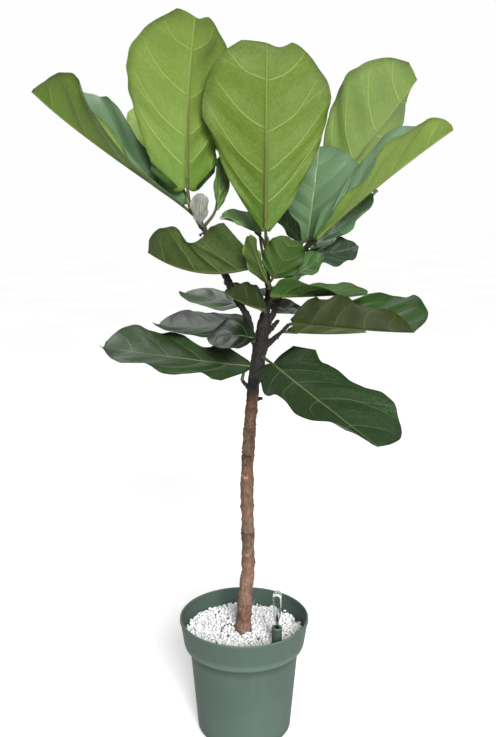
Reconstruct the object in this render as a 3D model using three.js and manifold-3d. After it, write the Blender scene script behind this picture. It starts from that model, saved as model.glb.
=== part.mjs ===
// A potted fiddle leaf fig: a stem that forks into three shoots with large waved leaves, standing in white
// gravel in a plain green pot with a water gauge. Millimetres, +Z up, the view from the front is along +Y.
// The origin is the centre of the pot's underside.
import * as THREE from "three";
import { mergeVertices } from "three/addons/utils/BufferGeometryUtils.js";
import Module from "manifold-3d";

const wasm = await Module();
wasm.setup();

// ---- driving dimensions -------------------------------------------------------------------------------
const GAP = 0.3; // between any two pieces that touch

const POT = {
  height: 205,
  rimRadius: 110,
  collarRadius: 102.5,
  collarBottom: 156,
  neckRadius: 92.5,
  neckHeight: 146,
  footRadius: 80.5,
  edge: 8,
  wall: 3,
  floor: 5,
  sides: 36,
};
const MEDIUM_TOP = 148;
const GRAVEL_TOP = 173;
const STONE = { spacing: 10.8, rise: 6.2, jitter: 2.6 };
const GAUGE = {
  x: 55,
  y: -45,
  sides: 14,
  sleeve: { radius: 8.2, bore: 6.4, bottom: 40, top: 206 },
};
const BLADE_THICKNESS = 1.0;
const RIB_DEPTH = 3.0; // of the midrib under the blade, at the blade's foot
const STALK_RADIUS = 2.5;
const QUILTING = 1.9; // how far the blade swells between two side veins

// The woody parts: points on each centre line and the radius there.
const BRANCHES = {
  stem: {
    sides: 10,
    scars: 38,
    points: [
      [-4, 0, 60, 13.5],
      [-2, 0, 172, 13.2],
      [3, 0, 250, 11.2],
      [7, 0, 305, 10.8],
      [6, 0, 376, 10.4],
      [5, 0, 446, 10.2],
      [8, 0, 515, 10],
      [12, 0, 566, 9.8],
      [16, 0, 608, 9.6],
      [22, 0, 646, 11.4],
      [27, 0, 676, 11],
      [31, 0, 706, 9.4],
      [34, -1, 728, 6],
    ],
  },
  left: {
    sides: 7,
    scars: 32,
    points: [
      [24, 0, 650, 5.5],
      [15, -3, 682, 4.6],
      [9, -8, 712, 4.8],
      [-2, -14, 735, 5.4],
      [-15, -20, 757, 5.7],
      [-28, -25, 787, 5.8],
      [-44, -30, 824, 5.4],
      [-59, -32, 855, 5],
      [-73, -34, 880, 4.2],
      [-84, -36, 898, 3.2],
    ],
  },
  middle: {
    sides: 7,
    scars: 30,
    points: [
      [32, 0, 712, 7],
      [36, -6, 731, 6.6],
      [40, -12, 753, 6],
      [37, -20, 780, 5],
      [34, -30, 809, 4],
      [35, -42, 836, 3.2],
    ],
  },
  right: {
    sides: 7,
    scars: 30,
    points: [
      [31, 2, 698, 5],
      [41, 4, 712, 4.6],
      [52, 6, 736, 4.4],
      [64, 8, 771, 4.3],
      [78, 10, 797, 4.3],
      [91, 14, 817, 4.2],
      [104, 19, 836, 4],
      [113, 40, 855, 3.7],
      [122, 68, 874, 3.3],
      [130, 92, 888, 2.8],
    ],
  },
  spurRight: {
    sides: 6,
    scars: 24,
    points: [
      [27, 0, 664, 5],
      [40, -4, 676, 4.2],
      [58, -10, 695, 3.8],
      [73, -15, 710, 3],
    ],
  },
  spurMiddle: {
    sides: 6,
    scars: 24,
    points: [
      [31, 0, 688, 5],
      [44, -4, 701, 4],
      [56, -8, 716, 3],
    ],
  },
  spurLeft: {
    sides: 6,
    scars: 24,
    points: [
      [15, 0, 596, 4.5],
      [6, -8, 607, 3.8],
      [-3, -15, 619, 3],
    ],
  },
  stub: {
    sides: 6,
    scars: 24,
    points: [
      [12, 0, 582, 3.4],
      [24, -2, 585, 2.6],
      [31, -2, 586, 2.2],
    ],
  },
};

// A blade's half width along it, as a share of its greatest half width.
const OUTLINES = {
  tear: [[0, 0.12], [0.06, 0.31], [0.13, 0.41], [0.2, 0.49], [0.32, 0.67], [0.42, 0.79], [0.54, 0.9],
    [0.62, 0.97], [0.68, 1], [0.78, 0.95], [0.87, 0.83], [0.94, 0.66], [1, 0.38]],
  broad: [[0, 0.22], [0.04, 0.42], [0.09, 0.52], [0.15, 0.57], [0.23, 0.63], [0.33, 0.71], [0.43, 0.8],
    [0.54, 0.9], [0.62, 0.97], [0.68, 1], [0.78, 0.95], [0.87, 0.83], [0.94, 0.66], [1, 0.38]],
  fiddle: [[0, 0.16], [0.05, 0.42], [0.11, 0.54], [0.2, 0.53], [0.3, 0.55], [0.42, 0.72], [0.54, 0.94],
    [0.64, 1], [0.74, 0.97], [0.83, 0.84], [0.91, 0.6], [0.965, 0.36], [1, 0.12]],
  violin: [[0, 0.3], [0.05, 0.66], [0.12, 0.92], [0.22, 1], [0.34, 0.9], [0.46, 0.7], [0.56, 0.64],
    [0.66, 0.72], [0.76, 0.84], [0.83, 0.86], [0.9, 0.8], [0.96, 0.62], [1, 0.35]],
  lyre: [[0, 0.24], [0.04, 0.5], [0.1, 0.62], [0.2, 0.66], [0.3, 0.7], [0.42, 0.8], [0.54, 0.92],
    [0.64, 1], [0.74, 1], [0.84, 0.92], [0.92, 0.74], [0.97, 0.55], [1, 0.3]],
  eared: [[0, 0.5], [0.03, 0.68], [0.08, 0.76], [0.15, 0.73], [0.24, 0.65], [0.34, 0.64], [0.46, 0.72],
    [0.58, 0.88], [0.68, 0.98], [0.76, 1], [0.84, 0.94], [0.91, 0.8], [0.96, 0.6], [1, 0.3]],
  round: [[0, 0.18], [0.05, 0.48], [0.12, 0.7], [0.22, 0.87], [0.35, 0.97], [0.48, 1], [0.6, 0.99],
    [0.72, 0.94], [0.82, 0.84], [0.9, 0.68], [0.96, 0.47], [1, 0.2]],
  oval: [[0, 0.14], [0.05, 0.36], [0.12, 0.56], [0.22, 0.75], [0.33, 0.89], [0.44, 0.98], [0.54, 1],
    [0.64, 0.97], [0.74, 0.88], [0.84, 0.72], [0.92, 0.5], [0.97, 0.3], [1, 0.1]],
};

// Each leaf: the foot of its blade, which way it points (degrees about +Z from +X, and the turn along it),
// how it rises (degrees, at its foot and tip), how it rolls, its length and width, then for its left and
// right half the fold up from the midrib and the curl towards the margin, at the foot and the tip.
// from is the branch, and how far along it, that the stalk leaves.
const LEAVES = [
  {
    name: "leaf_left_outer", outline: "fiddle", from: ["left", 0.86],
    at: [-93, -30, 896], aim: [166, -36], rise: [33, 28], roll: [-33, 33], size: [366, 148],
    left: [48, 90, -30, -10], right: [60, 50, 12, 6], wave: [6, 3, 40],
  },
  {
    name: "leaf_left_upright", outline: "broad", from: ["left", 0.98],
    at: [-86, -40, 922], aim: [-65, 13], rise: [90, 75], roll: [-1, 11], size: [246, 199],
    left: [17, 9, 0, 7], right: [17, 5, 6, -5], wave: [5, 3, 150],
  },
  {
    name: "leaf_left_rear", outline: "oval", from: ["left", 0.93],
    at: [-110, 39, 942], aim: [166, 0], rise: [54, 50], roll: [78, 78], size: [128, 80],
    left: [12, 12, 0, 0], right: [12, 12, 0, 0], wave: [4, 2, 0],
  },
  {
    name: "leaf_left_slim", outline: "oval", from: ["left", 0.8],
    at: [-41, -14, 889], aim: [76, -2], rise: [78, 68], roll: [64, 62], size: [85, 36],
    left: [22, 22, 0, 0], right: [20, 20, 0, 0], wave: [2, 2, 0],
  },
  {
    name: "shoot_sheath", outline: "oval", from: ["left", 0.8],
    at: [-66, -50, 868], aim: [-80, 0], rise: [80, 84], roll: [0, 0], size: [46, 34],
    left: [30, 20, 20, 20], right: [30, 20, 20, 20], wave: [2, 2, 60],
  },
  {
    name: "leaf_front_upright", outline: "tear", from: ["middle", 0.97],
    at: [33, -60, 862], aim: [-104, 0], rise: [90, 92], roll: [0, 14], size: [266, 194],
    left: [17, 6, 6, 10], right: [16, 2, 0, -5], wave: [5, 3, 200],
  },
  {
    name: "leaf_rear_small", outline: "oval", from: ["middle", 0.94],
    at: [25, -8, 850], aim: [150, 4], rise: [36, 8], roll: [-8, -20], size: [76, 54],
    left: [23, 15, 0, 0], right: [25, 22, 0, 0], wave: [3, 2, 0],
  },
  {
    name: "leaf_rear_dark", outline: "oval", from: ["right", 0.7],
    at: [92, 6, 835], aim: [172, 4], rise: [51, 50], roll: [-9, -25], size: [84, 70],
    left: [5, 5, 0, 0], right: [5, 12, 0, 0], wave: [3, 2, 90],
  },
  {
    name: "leaf_right_upright", outline: "tear", from: ["right", 0.99],
    at: [142, 118, 907], aim: [-12, 22], rise: [54, 52], roll: [-75, -37], size: [245, 200],
    left: [7, 23, -4, 11], right: [19, 25, 7, 14], wave: [6, 3, 100],
  },
  {
    name: "leaf_right_outer", outline: "fiddle", from: ["right", 0.62],
    at: [113, -28, 845], aim: [0, 0], rise: [43, 34], roll: [14, 5], size: [264, 131],
    left: [43, 43, -1, -2], right: [44, 56, -15, -4], wave: [6, 3, 20],
  },
  {
    name: "leaf_right_pale", outline: "oval", from: ["right", 0.76],
    at: [103, 28, 841], aim: [58, 15], rise: [76, 66], roll: [-18, 7], size: [160, 160],
    left: [10, 8, 0, 0], right: [9, 8, 3, 0], wave: [4, 3, 0],
  },
  {
    name: "leaf_right_teal", outline: "lyre", from: ["right", 0.72],
    at: [108, 40, 829], aim: [21, 0], rise: [30, 42], roll: [16, 0], size: [146, 98],
    left: [-3, 15, -10, 2], right: [-3, 21, -7, 10], wave: [5, 3, 60],
  },
  {
    name: "leaf_right_grey", outline: "oval", from: ["right", 0.62],
    at: [103, 26, 821], aim: [4, 0], rise: [-9, 24], roll: [10, 13], size: [84, 92],
    left: [8, 25, -18, -13], right: [-10, 0, -16, -6], wave: [3, 3, 0],
  },
  {
    name: "leaf_left_middle", outline: "violin", from: ["middle", 0.62],
    at: [16, -70, 806], aim: [172, -6], rise: [-20, 34], roll: [6, -12], size: [177, 165],
    left: [64, 60, 0, 10], right: [50, -25, 0, 0], wave: [5, 3, 0],
  },
  {
    name: "leaf_front_cup", outline: "round", from: ["middle", 0.56],
    at: [45, -60, 788], aim: [-15, 0], rise: [60, 66], roll: [-72, -66], size: [66, 64],
    left: [16, 10, 0, 0], right: [16, 10, 0, 0], wave: [3, 3, 0],
  },
  {
    name: "leaf_front_folded", outline: "oval", from: ["middle", 0.5],
    at: [37, -80, 780], aim: [-124, 10], rise: [43, 67], roll: [35, 20], size: [92, 44],
    left: [84, 84, 0, 0], right: [28, 33, -3, 0], wave: [3, 3, 120],
  },
  {
    name: "leaf_front_glossy", outline: "oval", from: ["right", 0.42],
    at: [72, -14, 781], aim: [-10, -5], rise: [36, 28], roll: [8, 24], size: [66, 66],
    left: [19, 22, -4, 0], right: [0, -4, -6, -8], wave: [3, 2, 0],
  },
  {
    name: "leaf_right_thin", outline: ["oval", "round"], from: ["middle", 0.32],
    at: [43, -36, 757], aim: [-20, 6], rise: [2, 5], roll: [2, 8], size: [152, 95],
    left: [15, 10, 0, 0], right: [62, -3, 0, 0], wave: [2, 3, 0],
  },
  {
    name: "leaf_inner_left", outline: "oval", from: ["middle", 0.12],
    at: [34, -30, 735], aim: [187, 3], rise: [9, 40], roll: [10, 10], size: [72, 80],
    left: [48, 48, 0, 0], right: [20, 20, 0, 0], wave: [3, 3, 0],
  },
  {
    name: "leaf_inner_right", outline: "oval", from: ["right", 0.24],
    at: [38, 22, 735], aim: [11, -6], rise: [-6, -6], roll: [22, 6], size: [62, 68],
    left: [7, 5, 0, 0], right: [0, 4, 0, 0], wave: [1, 2, 0],
  },
  {
    name: "leaf_right_middle", outline: "oval", from: ["spurRight", 0.97],
    at: [80, -20, 714], aim: [-31, -38], rise: [-2, 7], roll: [2, 6], size: [246, 165],
    left: [32, 32, -5, 0], right: [46, 54, -8, -20], wave: [5, 3, 0],
  },
  {
    name: "leaf_right_under", outline: "oval", from: ["spurRight", 0.7],
    at: [73, 10, 695], aim: [1, 0], rise: [-6, 4], roll: [-19, 14], size: [127, 92],
    left: [25, 25, 0, 0], right: [42, 30, -2, -5], wave: [4, 3, 60],
  },
  {
    name: "leaf_right_lower", outline: ["eared", "lyre"], from: ["stem", 0.78],
    at: [46, -44, 651], aim: [-73, 22], rise: [-6, -20], roll: [24, -10], size: [292, 168],
    left: [17, 9, 0, 0], right: [12, 17, 14, -3], wave: [6, 3, 30],
  },
  {
    name: "leaf_left_lower", outline: "lyre", from: ["spurLeft", 0.97],
    at: [6, -36, 646], aim: [176, 0], rise: [5, 9], roll: [-4, -4], size: [234, 158],
    left: [-14, 8, -2, 4], right: [14, 20, -10, 0], wave: [6, 3, 100],
  },
  {
    name: "leaf_left_grey", outline: "lyre", from: ["left", 0.18],
    at: [0, 62, 706], aim: [167, 0], rise: [-17, 7], roll: [-10, 9], size: [156, 145],
    left: [-10, 6, -10, 2], right: [8, 17, -5, 20], wave: [2, 2, 40],
  },
  {
    name: "leaf_left_thin", outline: "lyre", from: ["left", 0.3],
    at: [-6, 34, 737], aim: [152, 4], rise: [3, 11], roll: [-16, 4], size: [107, 96],
    left: [-8, 8, -8, 0], right: [8, 16, -10, -8], wave: [1, 2, 90],
  },
  {
    name: "leaf_left_inner", outline: "oval", from: ["left", 0.1],
    at: [14, -40, 691], aim: [187, 0], rise: [17, -20], roll: [-29, -5], size: [74, 108],
    left: [14, -5, 3, -4], right: [24, -4, -6, -20], wave: [1, 2, 30],
  },
  {
    name: "leaf_back_upright", outline: "tear", from: ["middle", 0.46],
    at: [22, 76, 886], aim: [100, -6], rise: [66, 60], roll: [6, -6], size: [205, 145],
    left: [14, 8, 0, 0], right: [14, 8, 0, 0], wave: [5, 3, 0],
  },
  {
    name: "leaf_back_middle", outline: "fiddle", from: ["right", 0.3],
    at: [42, 34, 748], aim: [92, 10], rise: [4, -10], roll: [0, 4], size: [205, 135],
    left: [12, 8, 0, 0], right: [14, 8, 0, 0], wave: [5, 3, 0],
  },
];

// ---- small tools --------------------------------------------------------------------------------------
const RADIAN = Math.PI / 180;
const mix = (a, b, t) => a + (b - a) * t;
const vector = (p) => new THREE.Vector3(p[0], p[1], p[2]);

// A smooth curve through [x, y] points that never overshoots them.
function curveThrough(points) {
  const n = points.length;
  const slope = points.slice(1).map((p, i) => (p[1] - points[i][1]) / (p[0] - points[i][0]));
  const tangent = points.map((_, i) => {
    if (i === 0) return slope[0];
    if (i === n - 1) return slope[n - 2];
    return slope[i - 1] * slope[i] <= 0 ? 0 : (2 * slope[i - 1] * slope[i]) / (slope[i - 1] + slope[i]);
  });
  return (x) => {
    let i = 0;
    while (i < n - 2 && x > points[i + 1][0]) i += 1;
    const h = points[i + 1][0] - points[i][0];
    const t = (x - points[i][0]) / h;
    const rest = 1 - t;
    return (
      (1 + 2 * t) * rest * rest * points[i][1] +
      t * rest * rest * h * tangent[i] +
      t * t * (3 - 2 * t) * points[i + 1][1] -
      t * t * rest * h * tangent[i + 1]
    );
  };
}

// A point of a smooth run through 3-D points (any further numbers in them run along), t from 0 to 1.
function alongPoints(points, t) {
  const last = points.length - 1;
  const x = Math.min(Math.max(t, 0), 1) * last;
  const i = Math.min(Math.floor(x), last - 1);
  const u = x - i;
  const [a, b, c, d] = [i - 1, i, i + 1, i + 2].map((k) => points[Math.min(Math.max(k, 0), last)]);
  return b.map((_, k) => {
    const speed = c[k] - a[k];
    const bend = 2 * a[k] - 5 * b[k] + 4 * c[k] - d[k];
    const twist = 3 * (b[k] - c[k]) + d[k] - a[k];
    return b[k] + 0.5 * u * (speed + u * (bend + u * twist));
  });
}

function solidFrom(positions, faces) {
  const mesh = new wasm.Mesh({
    numProp: 3,
    vertProperties: new Float32Array(positions),
    triVerts: new Uint32Array(faces),
  });
  return new wasm.Manifold(mesh);
}

function solidOf(geometry) {
  const bare = new THREE.BufferGeometry()
    .setAttribute("position", geometry.getAttribute("position"))
    .setIndex(geometry.index);
  const merged = mergeVertices(bare, 1e-4);
  return solidFrom(merged.attributes.position.array, merged.index.array);
}

function meshOf(name, solid, material) {
  const data = solid.getMesh();
  const geometry = new THREE.BufferGeometry()
    .setAttribute("position", new THREE.BufferAttribute(new Float32Array(data.vertProperties), 3))
    .setIndex(new THREE.BufferAttribute(new Uint32Array(data.triVerts), 1));
  geometry.computeVertexNormals();
  const mesh = new THREE.Mesh(geometry, material);
  mesh.name = name;
  return mesh;
}

// A closed round body about +Z from [radius, height] points that start and end on the axis, or close.
function turned(profile, sides, x = 0, y = 0) {
  const points = profile.map(([radius, height]) => new THREE.Vector2(radius, height));
  return solidOf(new THREE.LatheGeometry(points, sides).rotateX(Math.PI / 2).translate(x, y, 0));
}

// A closed round sweep along centres, with a radius at each.
function swept(centres, radii, sides) {
  const positions = [];
  const faces = [];
  const last = centres.length - 1;
  let side = new THREE.Vector3(0, 1, 0);
  centres.forEach((centre, i) => {
    const ahead = centres[Math.min(i + 1, last)].clone().sub(centres[Math.max(i - 1, 0)]).normalize();
    side = side.clone().addScaledVector(ahead, -side.dot(ahead)).normalize();
    const other = ahead.clone().cross(side);
    for (let k = 0; k < sides; k += 1) {
      const angle = (2 * Math.PI * k) / sides;
      const rim = centre
        .clone()
        .addScaledVector(side, radii[i] * Math.cos(angle))
        .addScaledVector(other, radii[i] * Math.sin(angle));
      positions.push(...rim.toArray());
    }
  });
  for (let i = 0; i < last; i += 1) {
    for (let k = 0; k < sides; k += 1) {
      const a = i * sides + k;
      const b = i * sides + ((k + 1) % sides);
      faces.push(a, b, b + sides, a, b + sides, a + sides);
    }
  }
  const start = positions.length / 3;
  positions.push(...centres[0].toArray(), ...centres[last].toArray());
  for (let k = 0; k < sides; k += 1) {
    const next = (k + 1) % sides;
    faces.push(start, next, k, start + 1, last * sides + k, last * sides + next);
  }
  return solidFrom(positions, faces);
}

const united = (solids) => solids.reduce((whole, solid) => whole.add(solid));

// ---- stem and shoots ----------------------------------------------------------------------------------
// Leaf scars ring the bark: at each the branch swells a little and then narrows again.
function branchSolid({ points, sides, scars }, grown = 0) {
  const lengths = points.slice(1).map((p, i) => vector(p).distanceTo(vector(points[i])));
  const rings = Math.max(2, Math.round(lengths.reduce((sum, l) => sum + l, 0) / scars));
  const centres = [];
  const radii = [];
  for (let i = 0; i <= 2 * rings; i += 1) {
    const [x, y, z, radius] = alongPoints(points, i / (2 * rings));
    const swell = i % 2 === 1 ? 1.06 : 0.97;
    centres.push(new THREE.Vector3(x, y, z));
    radii.push(radius * swell + grown);
  }
  if (grown) {
    const ahead = centres.at(-1).clone().sub(centres.at(-2)).setLength(grown);
    const behind = centres[0].clone().sub(centres[1]).setLength(grown);
    centres.at(-1).add(ahead);
    centres[0].add(behind);
  }
  return swept(centres, radii, sides);
}

function woodSolid(grown = 0) {
  return united(Object.values(BRANCHES).map((branch) => branchSolid(branch, grown)));
}

// ---- leaves -------------------------------------------------------------------------------------------
// Rows of a blade slant from the midrib to the margin as its side veins do. Each row is a share of the
// blade's length at the midrib and a sign: 1 along a sunk vein, -1 on the swelling between two.
const LARGE = {
  rows: [[0, 0], [0.014, 0], [0.06, -0.5], [0.13, 1], [0.21, -1], [0.3, 1], [0.41, -1], [0.53, 1],
    [0.66, -1], [0.8, 1], [0.91, -0.4], [1, 0]],
  columns: [0.07, 0.52, 1],
};
const WIDE = { rows: LARGE.rows, columns: [0.05, 0.34, 0.68, 1] };
const SMALL = {
  rows: [[0, 0], [0.03, 0], [0.12, 1], [0.26, -1], [0.44, 1], [0.66, -1], [0.86, 0.4], [1, 0]],
  columns: [0.08, 0.5, 1],
};
const SMALL_UNDER = 130; // length
const WIDE_OVER = 185; // width
const SLANT = 0.43; // the power that carries a row forward from the midrib to the margin
const outlines = Object.fromEntries(Object.entries(OUTLINES).map(([k, v]) => [k, curveThrough(v)]));

/** The outline of one half of a leaf: a leaf names one for both halves, or one for each. */
function edgeOf(leaf, hand) {
  const [left, right = left] = [leaf.outline].flat();
  return outlines[hand > 0 ? left : right];
}

// The place, side, up and ahead directions along a blade's midrib, at steps + 1 even shares of its length.
function midribFrames({ at, aim, rise, roll, size }, steps = 24) {
  const frames = [];
  const place = vector(at);
  const aheadAt = (s) => {
    const up = mix(rise[0], rise[1], s) * RADIAN;
    const round = (aim[0] + aim[1] * s) * RADIAN;
    return new THREE.Vector3(
      Math.cos(up) * Math.cos(round),
      Math.cos(up) * Math.sin(round),
      Math.sin(up),
    );
  };
  for (let i = 0; i <= steps; i += 1) {
    const s = i / steps;
    const ahead = aheadAt(s);
    const round = (aim[0] + aim[1] * s) * RADIAN;
    const level = new THREE.Vector3(-Math.sin(round), Math.cos(round), 0);
    const top = ahead.clone().cross(level);
    const turn = mix(roll[0], roll[1], s) * RADIAN;
    const side = level.clone().multiplyScalar(Math.cos(turn)).addScaledVector(top, Math.sin(turn));
    const up = top.clone().multiplyScalar(Math.cos(turn)).addScaledVector(level, -Math.sin(turn));
    frames.push({ place: place.clone(), side, up, ahead });
    place.addScaledVector(aheadAt(s + 0.5 / steps), size[0] / steps);
  }
  return frames;
}

function frameAt(frames, s) {
  const x = Math.min(Math.max(s, 0), 1) * (frames.length - 1);
  const i = Math.min(Math.floor(x), frames.length - 2);
  const blend = (key) => frames[i][key].clone().lerp(frames[i + 1][key], x - i);
  return { place: blend("place"), side: blend("side"), up: blend("up"), ahead: blend("ahead") };
}

// A point of the blade: row share r, t from the midrib (0) to the margin (1), hand 1 left or -1 right.
function bladePoint(leaf, frames, r, sign, t, hand) {
  const margin = r ** SLANT;
  const s = mix(r, margin, t ** 1.2);
  const half = leaf.size[1] / 2;
  const out = t * edgeOf(leaf, hand)(margin) * half;
  const [fold0, fold1, curl0, curl1] = hand > 0 ? leaf.left : leaf.right;
  const fold = mix(fold0, fold1, s) * RADIAN;
  const curl = (mix(curl0, curl1, s) * RADIAN) / half || 1e-6;
  const angle = fold + curl * out;
  const [height, count, phase] = leaf.wave;
  const turn = 2 * Math.PI * count * margin + (phase + (hand > 0 ? 0 : 140)) * RADIAN;
  const wave = height * t ** 3 * Math.sin(turn) * Math.min(1, margin * 6);
  const quilt = sign * QUILTING * Math.sin(Math.PI * Math.min(1, t * 1.08)) ** 0.8;
  const lift = wave - (Number.isFinite(quilt) ? quilt : 0);
  const along = (Math.sin(angle) - Math.sin(fold)) / curl - Math.sin(angle) * lift;
  const above = (Math.cos(fold) - Math.cos(angle)) / curl + Math.cos(angle) * lift;
  const { place, side, up } = frameAt(frames, s);
  return place.addScaledVector(side, hand * along).addScaledVector(up, above);
}

// The blade's middle surface as rows of points from its left margin to its right one.
function bladeGrid(leaf, frames) {
  const [length, width] = leaf.size;
  const { rows, columns } = length < SMALL_UNDER ? SMALL : width > WIDE_OVER ? WIDE : LARGE;
  return rows.map(([r, sign]) => [
    ...columns.toReversed().map((t) => bladePoint(leaf, frames, r, sign, t, 1)),
    bladePoint(leaf, frames, r, 0, 0, 1),
    ...columns.map((t) => bladePoint(leaf, frames, r, sign, t, -1)),
  ]);
}

function gridNormals(grid) {
  const within = (i, count) => Math.min(Math.max(i, 0), count - 1);
  const pick = (j, k) => grid[within(j, grid.length)][within(k, grid[0].length)];
  return grid.map((row, j) =>
    row.map((_, k) => {
      const across = pick(j, k + 1).clone().sub(pick(j, k - 1));
      const ahead = pick(j + 1, k).clone().sub(pick(j - 1, k));
      return across.cross(ahead).normalize();
    }),
  );
}

// The blade with its thickness, triangulated alike on both faces, and the midrib standing out below.
function bladeSolid(leaf, frames) {
  const grid = bladeGrid(leaf, frames);
  const normals = gridNormals(grid);
  const across = grid[0].length;
  const middle = (across - 1) / 2;
  const count = grid.length * across;
  const top = [];
  const bottom = [];
  grid.forEach((row, j) =>
    row.forEach((point, k) => {
      const rib = k === middle ? mix(RIB_DEPTH, 0.5, j / (grid.length - 1)) : 0;
      top.push(...point.clone().addScaledVector(normals[j][k], BLADE_THICKNESS / 2).toArray());
      bottom.push(...point.clone().addScaledVector(normals[j][k], -BLADE_THICKNESS / 2 - rib).toArray());
    }),
  );
  const faces = [];
  const edge = (a, b) => faces.push(b, a, a + count, b, a + count, b + count);
  for (let j = 0; j < grid.length - 1; j += 1) {
    for (let k = 0; k < across - 1; k += 1) {
      const a = j * across + k;
      const [b, c, d] = [a + 1, a + across + 1, a + across];
      // the diagonals mirror about the midrib, so that each half bends along its own veins
      const halves = k < middle ? [a, b, c, a, c, d] : [a, b, d, b, c, d];
      faces.push(...halves);
      for (let i = 0; i < 6; i += 3) {
        faces.push(halves[i] + count, halves[i + 2] + count, halves[i + 1] + count);
      }
    }
    edge((j + 1) * across, j * across);
    edge(j * across + across - 1, (j + 1) * across + across - 1);
  }
  for (let k = 0; k < across - 1; k += 1) {
    const end = (grid.length - 1) * across;
    edge(k, k + 1);
    edge(end + k + 1, end + k);
  }
  return solidFrom([...top, ...bottom], faces);
}

// The stalk: from inside its branch to the underside of the blade's foot, where it runs into the midrib.
function stalkSolid(leaf, frames) {
  const [branch, share] = leaf.from;
  const start = vector(alongPoints(BRANCHES[branch].points, share));
  const reach = Math.min(14, leaf.size[0] * 0.12);
  const { place, up, ahead } = frameAt(frames, reach / leaf.size[0]);
  const end = place.clone().addScaledVector(up, -BLADE_THICKNESS / 2 - 1.2);
  const stretch = start.distanceTo(end);
  const bend = ahead.clone().multiplyScalar(-stretch * 0.45).add(end);
  const leave = start.clone().lerp(end, 0.25).add(new THREE.Vector3(0, 0, stretch * 0.03));
  const curve = new THREE.CubicBezierCurve3(start, leave, bend, end);
  const steps = Math.max(3, Math.min(6, Math.round(stretch / 16)));
  const centres = curve.getPoints(steps);
  const radii = centres.map((_, i) => mix(STALK_RADIUS + 0.4, STALK_RADIUS - 0.6, i / steps));
  return swept(centres, radii, 6);
}

function leafSolid(leaf, wood) {
  const frames = midribFrames(leaf);
  return bladeSolid(leaf, frames).add(stalkSolid(leaf, frames)).subtract(wood);
}

// ---- pot and what fills it ----------------------------------------------------------------------------
// The pot's outer side from the foot's rounded edge to the rim, drawn in by inset.
function potSide(inset) {
  const { edge, footRadius, neckRadius, neckHeight, collarRadius, collarBottom, rimRadius, height } = POT;
  const corner = [0, 45, 90].map((a) => [
    footRadius - edge + edge * Math.sin(a * RADIAN) - inset,
    edge - edge * Math.cos(a * RADIAN),
  ]);
  return [
    ...corner,
    [neckRadius - inset, neckHeight],
    [collarRadius - inset, collarBottom],
    [rimRadius - inset, height - 1.5],
  ];
}

function potSolid() {
  const { rimRadius, height, wall, floor, sides } = POT;
  const outer = potSide(0);
  const inner = potSide(wall).filter(([, z]) => z > floor);
  return turned(
    [
      [0, 0],
      ...outer,
      [rimRadius - 0.8, height],
      [rimRadius - wall, height],
      ...inner.toReversed(),
      [inner[0][0] - 1, floor],
      [0, floor],
    ],
    sides,
  );
}

// What the pot can hold between two heights, clear of its wall.
function potFilling(bottom, top) {
  const side = potSide(POT.wall + 2 * GAP);
  const radiusAt = (z) => {
    const i = side.findIndex((p) => p[1] >= z);
    const [a, b] = [side[Math.max(i - 1, 0)], side[i]];
    return mix(a[0], b[0], (z - a[1]) / (b[1] - a[1] || 1));
  };
  const between = side.filter(([, z]) => z > bottom + 1 && z < top - 1);
  return turned(
    [[0, bottom], [radiusAt(bottom), bottom], ...between, [radiusAt(top), top], [0, top]],
    POT.sides,
  );
}

function mediumSolid(holes) {
  return potFilling(POT.floor + GAP, MEDIUM_TOP).subtract(holes);
}

// A repeatable scatter between -1 and 1 for a whole number.
const scatter = (i) => {
  const x = Math.sin(i * 127.1 + 11.7) * 43758.5453;
  return 2 * (x - Math.floor(x)) - 1;
};

// Gravel: a triangular lattice in which every third point is the peak of an angular stone.
function gravelSolid(holes) {
  const { spacing, rise, jitter } = STONE;
  const rows = Math.ceil(POT.rimRadius / spacing / 0.866) + 1;
  const reach = Math.ceil(POT.rimRadius / spacing + rows / 2) + 1;
  const across = 2 * reach + 1;
  const top = [];
  const bottom = [];
  const faces = [];
  for (let j = -rows; j <= rows; j += 1) {
    for (let i = -reach; i <= reach; i += 1) {
      const key = (j + rows) * across + i + reach;
      const isPeak = (((i - j) % 3) + 3) % 3 === 0;
      const x = (i + j / 2) * spacing + jitter * scatter(key);
      const y = j * spacing * 0.866 + jitter * scatter(key + 5000);
      const heap = 5 * Math.exp(-((x + 15) ** 2 + (y - 20) ** 2) / 3600);
      const above = isPeak ? rise * (0.8 + 0.3 * scatter(key + 900)) : 1.3 * scatter(key + 70);
      top.push(x, y, GRAVEL_TOP + heap + above);
      bottom.push(x, y, MEDIUM_TOP - 10);
    }
  }
  const count = top.length / 3;
  const edge = (a, b) => faces.push(b, a, a + count, b, a + count, b + count);
  for (let j = 0; j < 2 * rows; j += 1) {
    for (let i = 0; i < across - 1; i += 1) {
      const a = j * across + i;
      const [b, c, d] = [a + 1, a + across + 1, a + across];
      faces.push(a, b, d, b, c, d);
      faces.push(a + count, d + count, b + count, b + count, d + count, c + count);
    }
    edge((j + 1) * across, j * across);
    edge((j + 1) * across - 1, (j + 2) * across - 1);
  }
  for (let i = 0; i < across - 1; i += 1) {
    edge(i, i + 1);
    edge(2 * rows * across + i + 1, 2 * rows * across + i);
  }
  const block = solidFrom([...top, ...bottom], faces);
  return block.intersect(potFilling(MEDIUM_TOP + GAP, POT.height - 8)).subtract(holes);
}

// ---- water gauge --------------------------------------------------------------------------------------
// A green sleeve stands in the filling. A clear window with a stem sits in its mouth, and a dark rod with a
// float at its foot shows in the window.
function gaugeSleeve() {
  const { radius, bore, bottom, top } = GAUGE.sleeve;
  const profile = [
    [bore, bottom],
    [radius, bottom],
    [radius, top - 6],
    [radius + 0.5, top - 5],
    [radius + 0.5, top],
    [bore, top],
    [bore, bottom],
  ];
  return turned(profile, GAUGE.sides, GAUGE.x, GAUGE.y);
}

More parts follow.
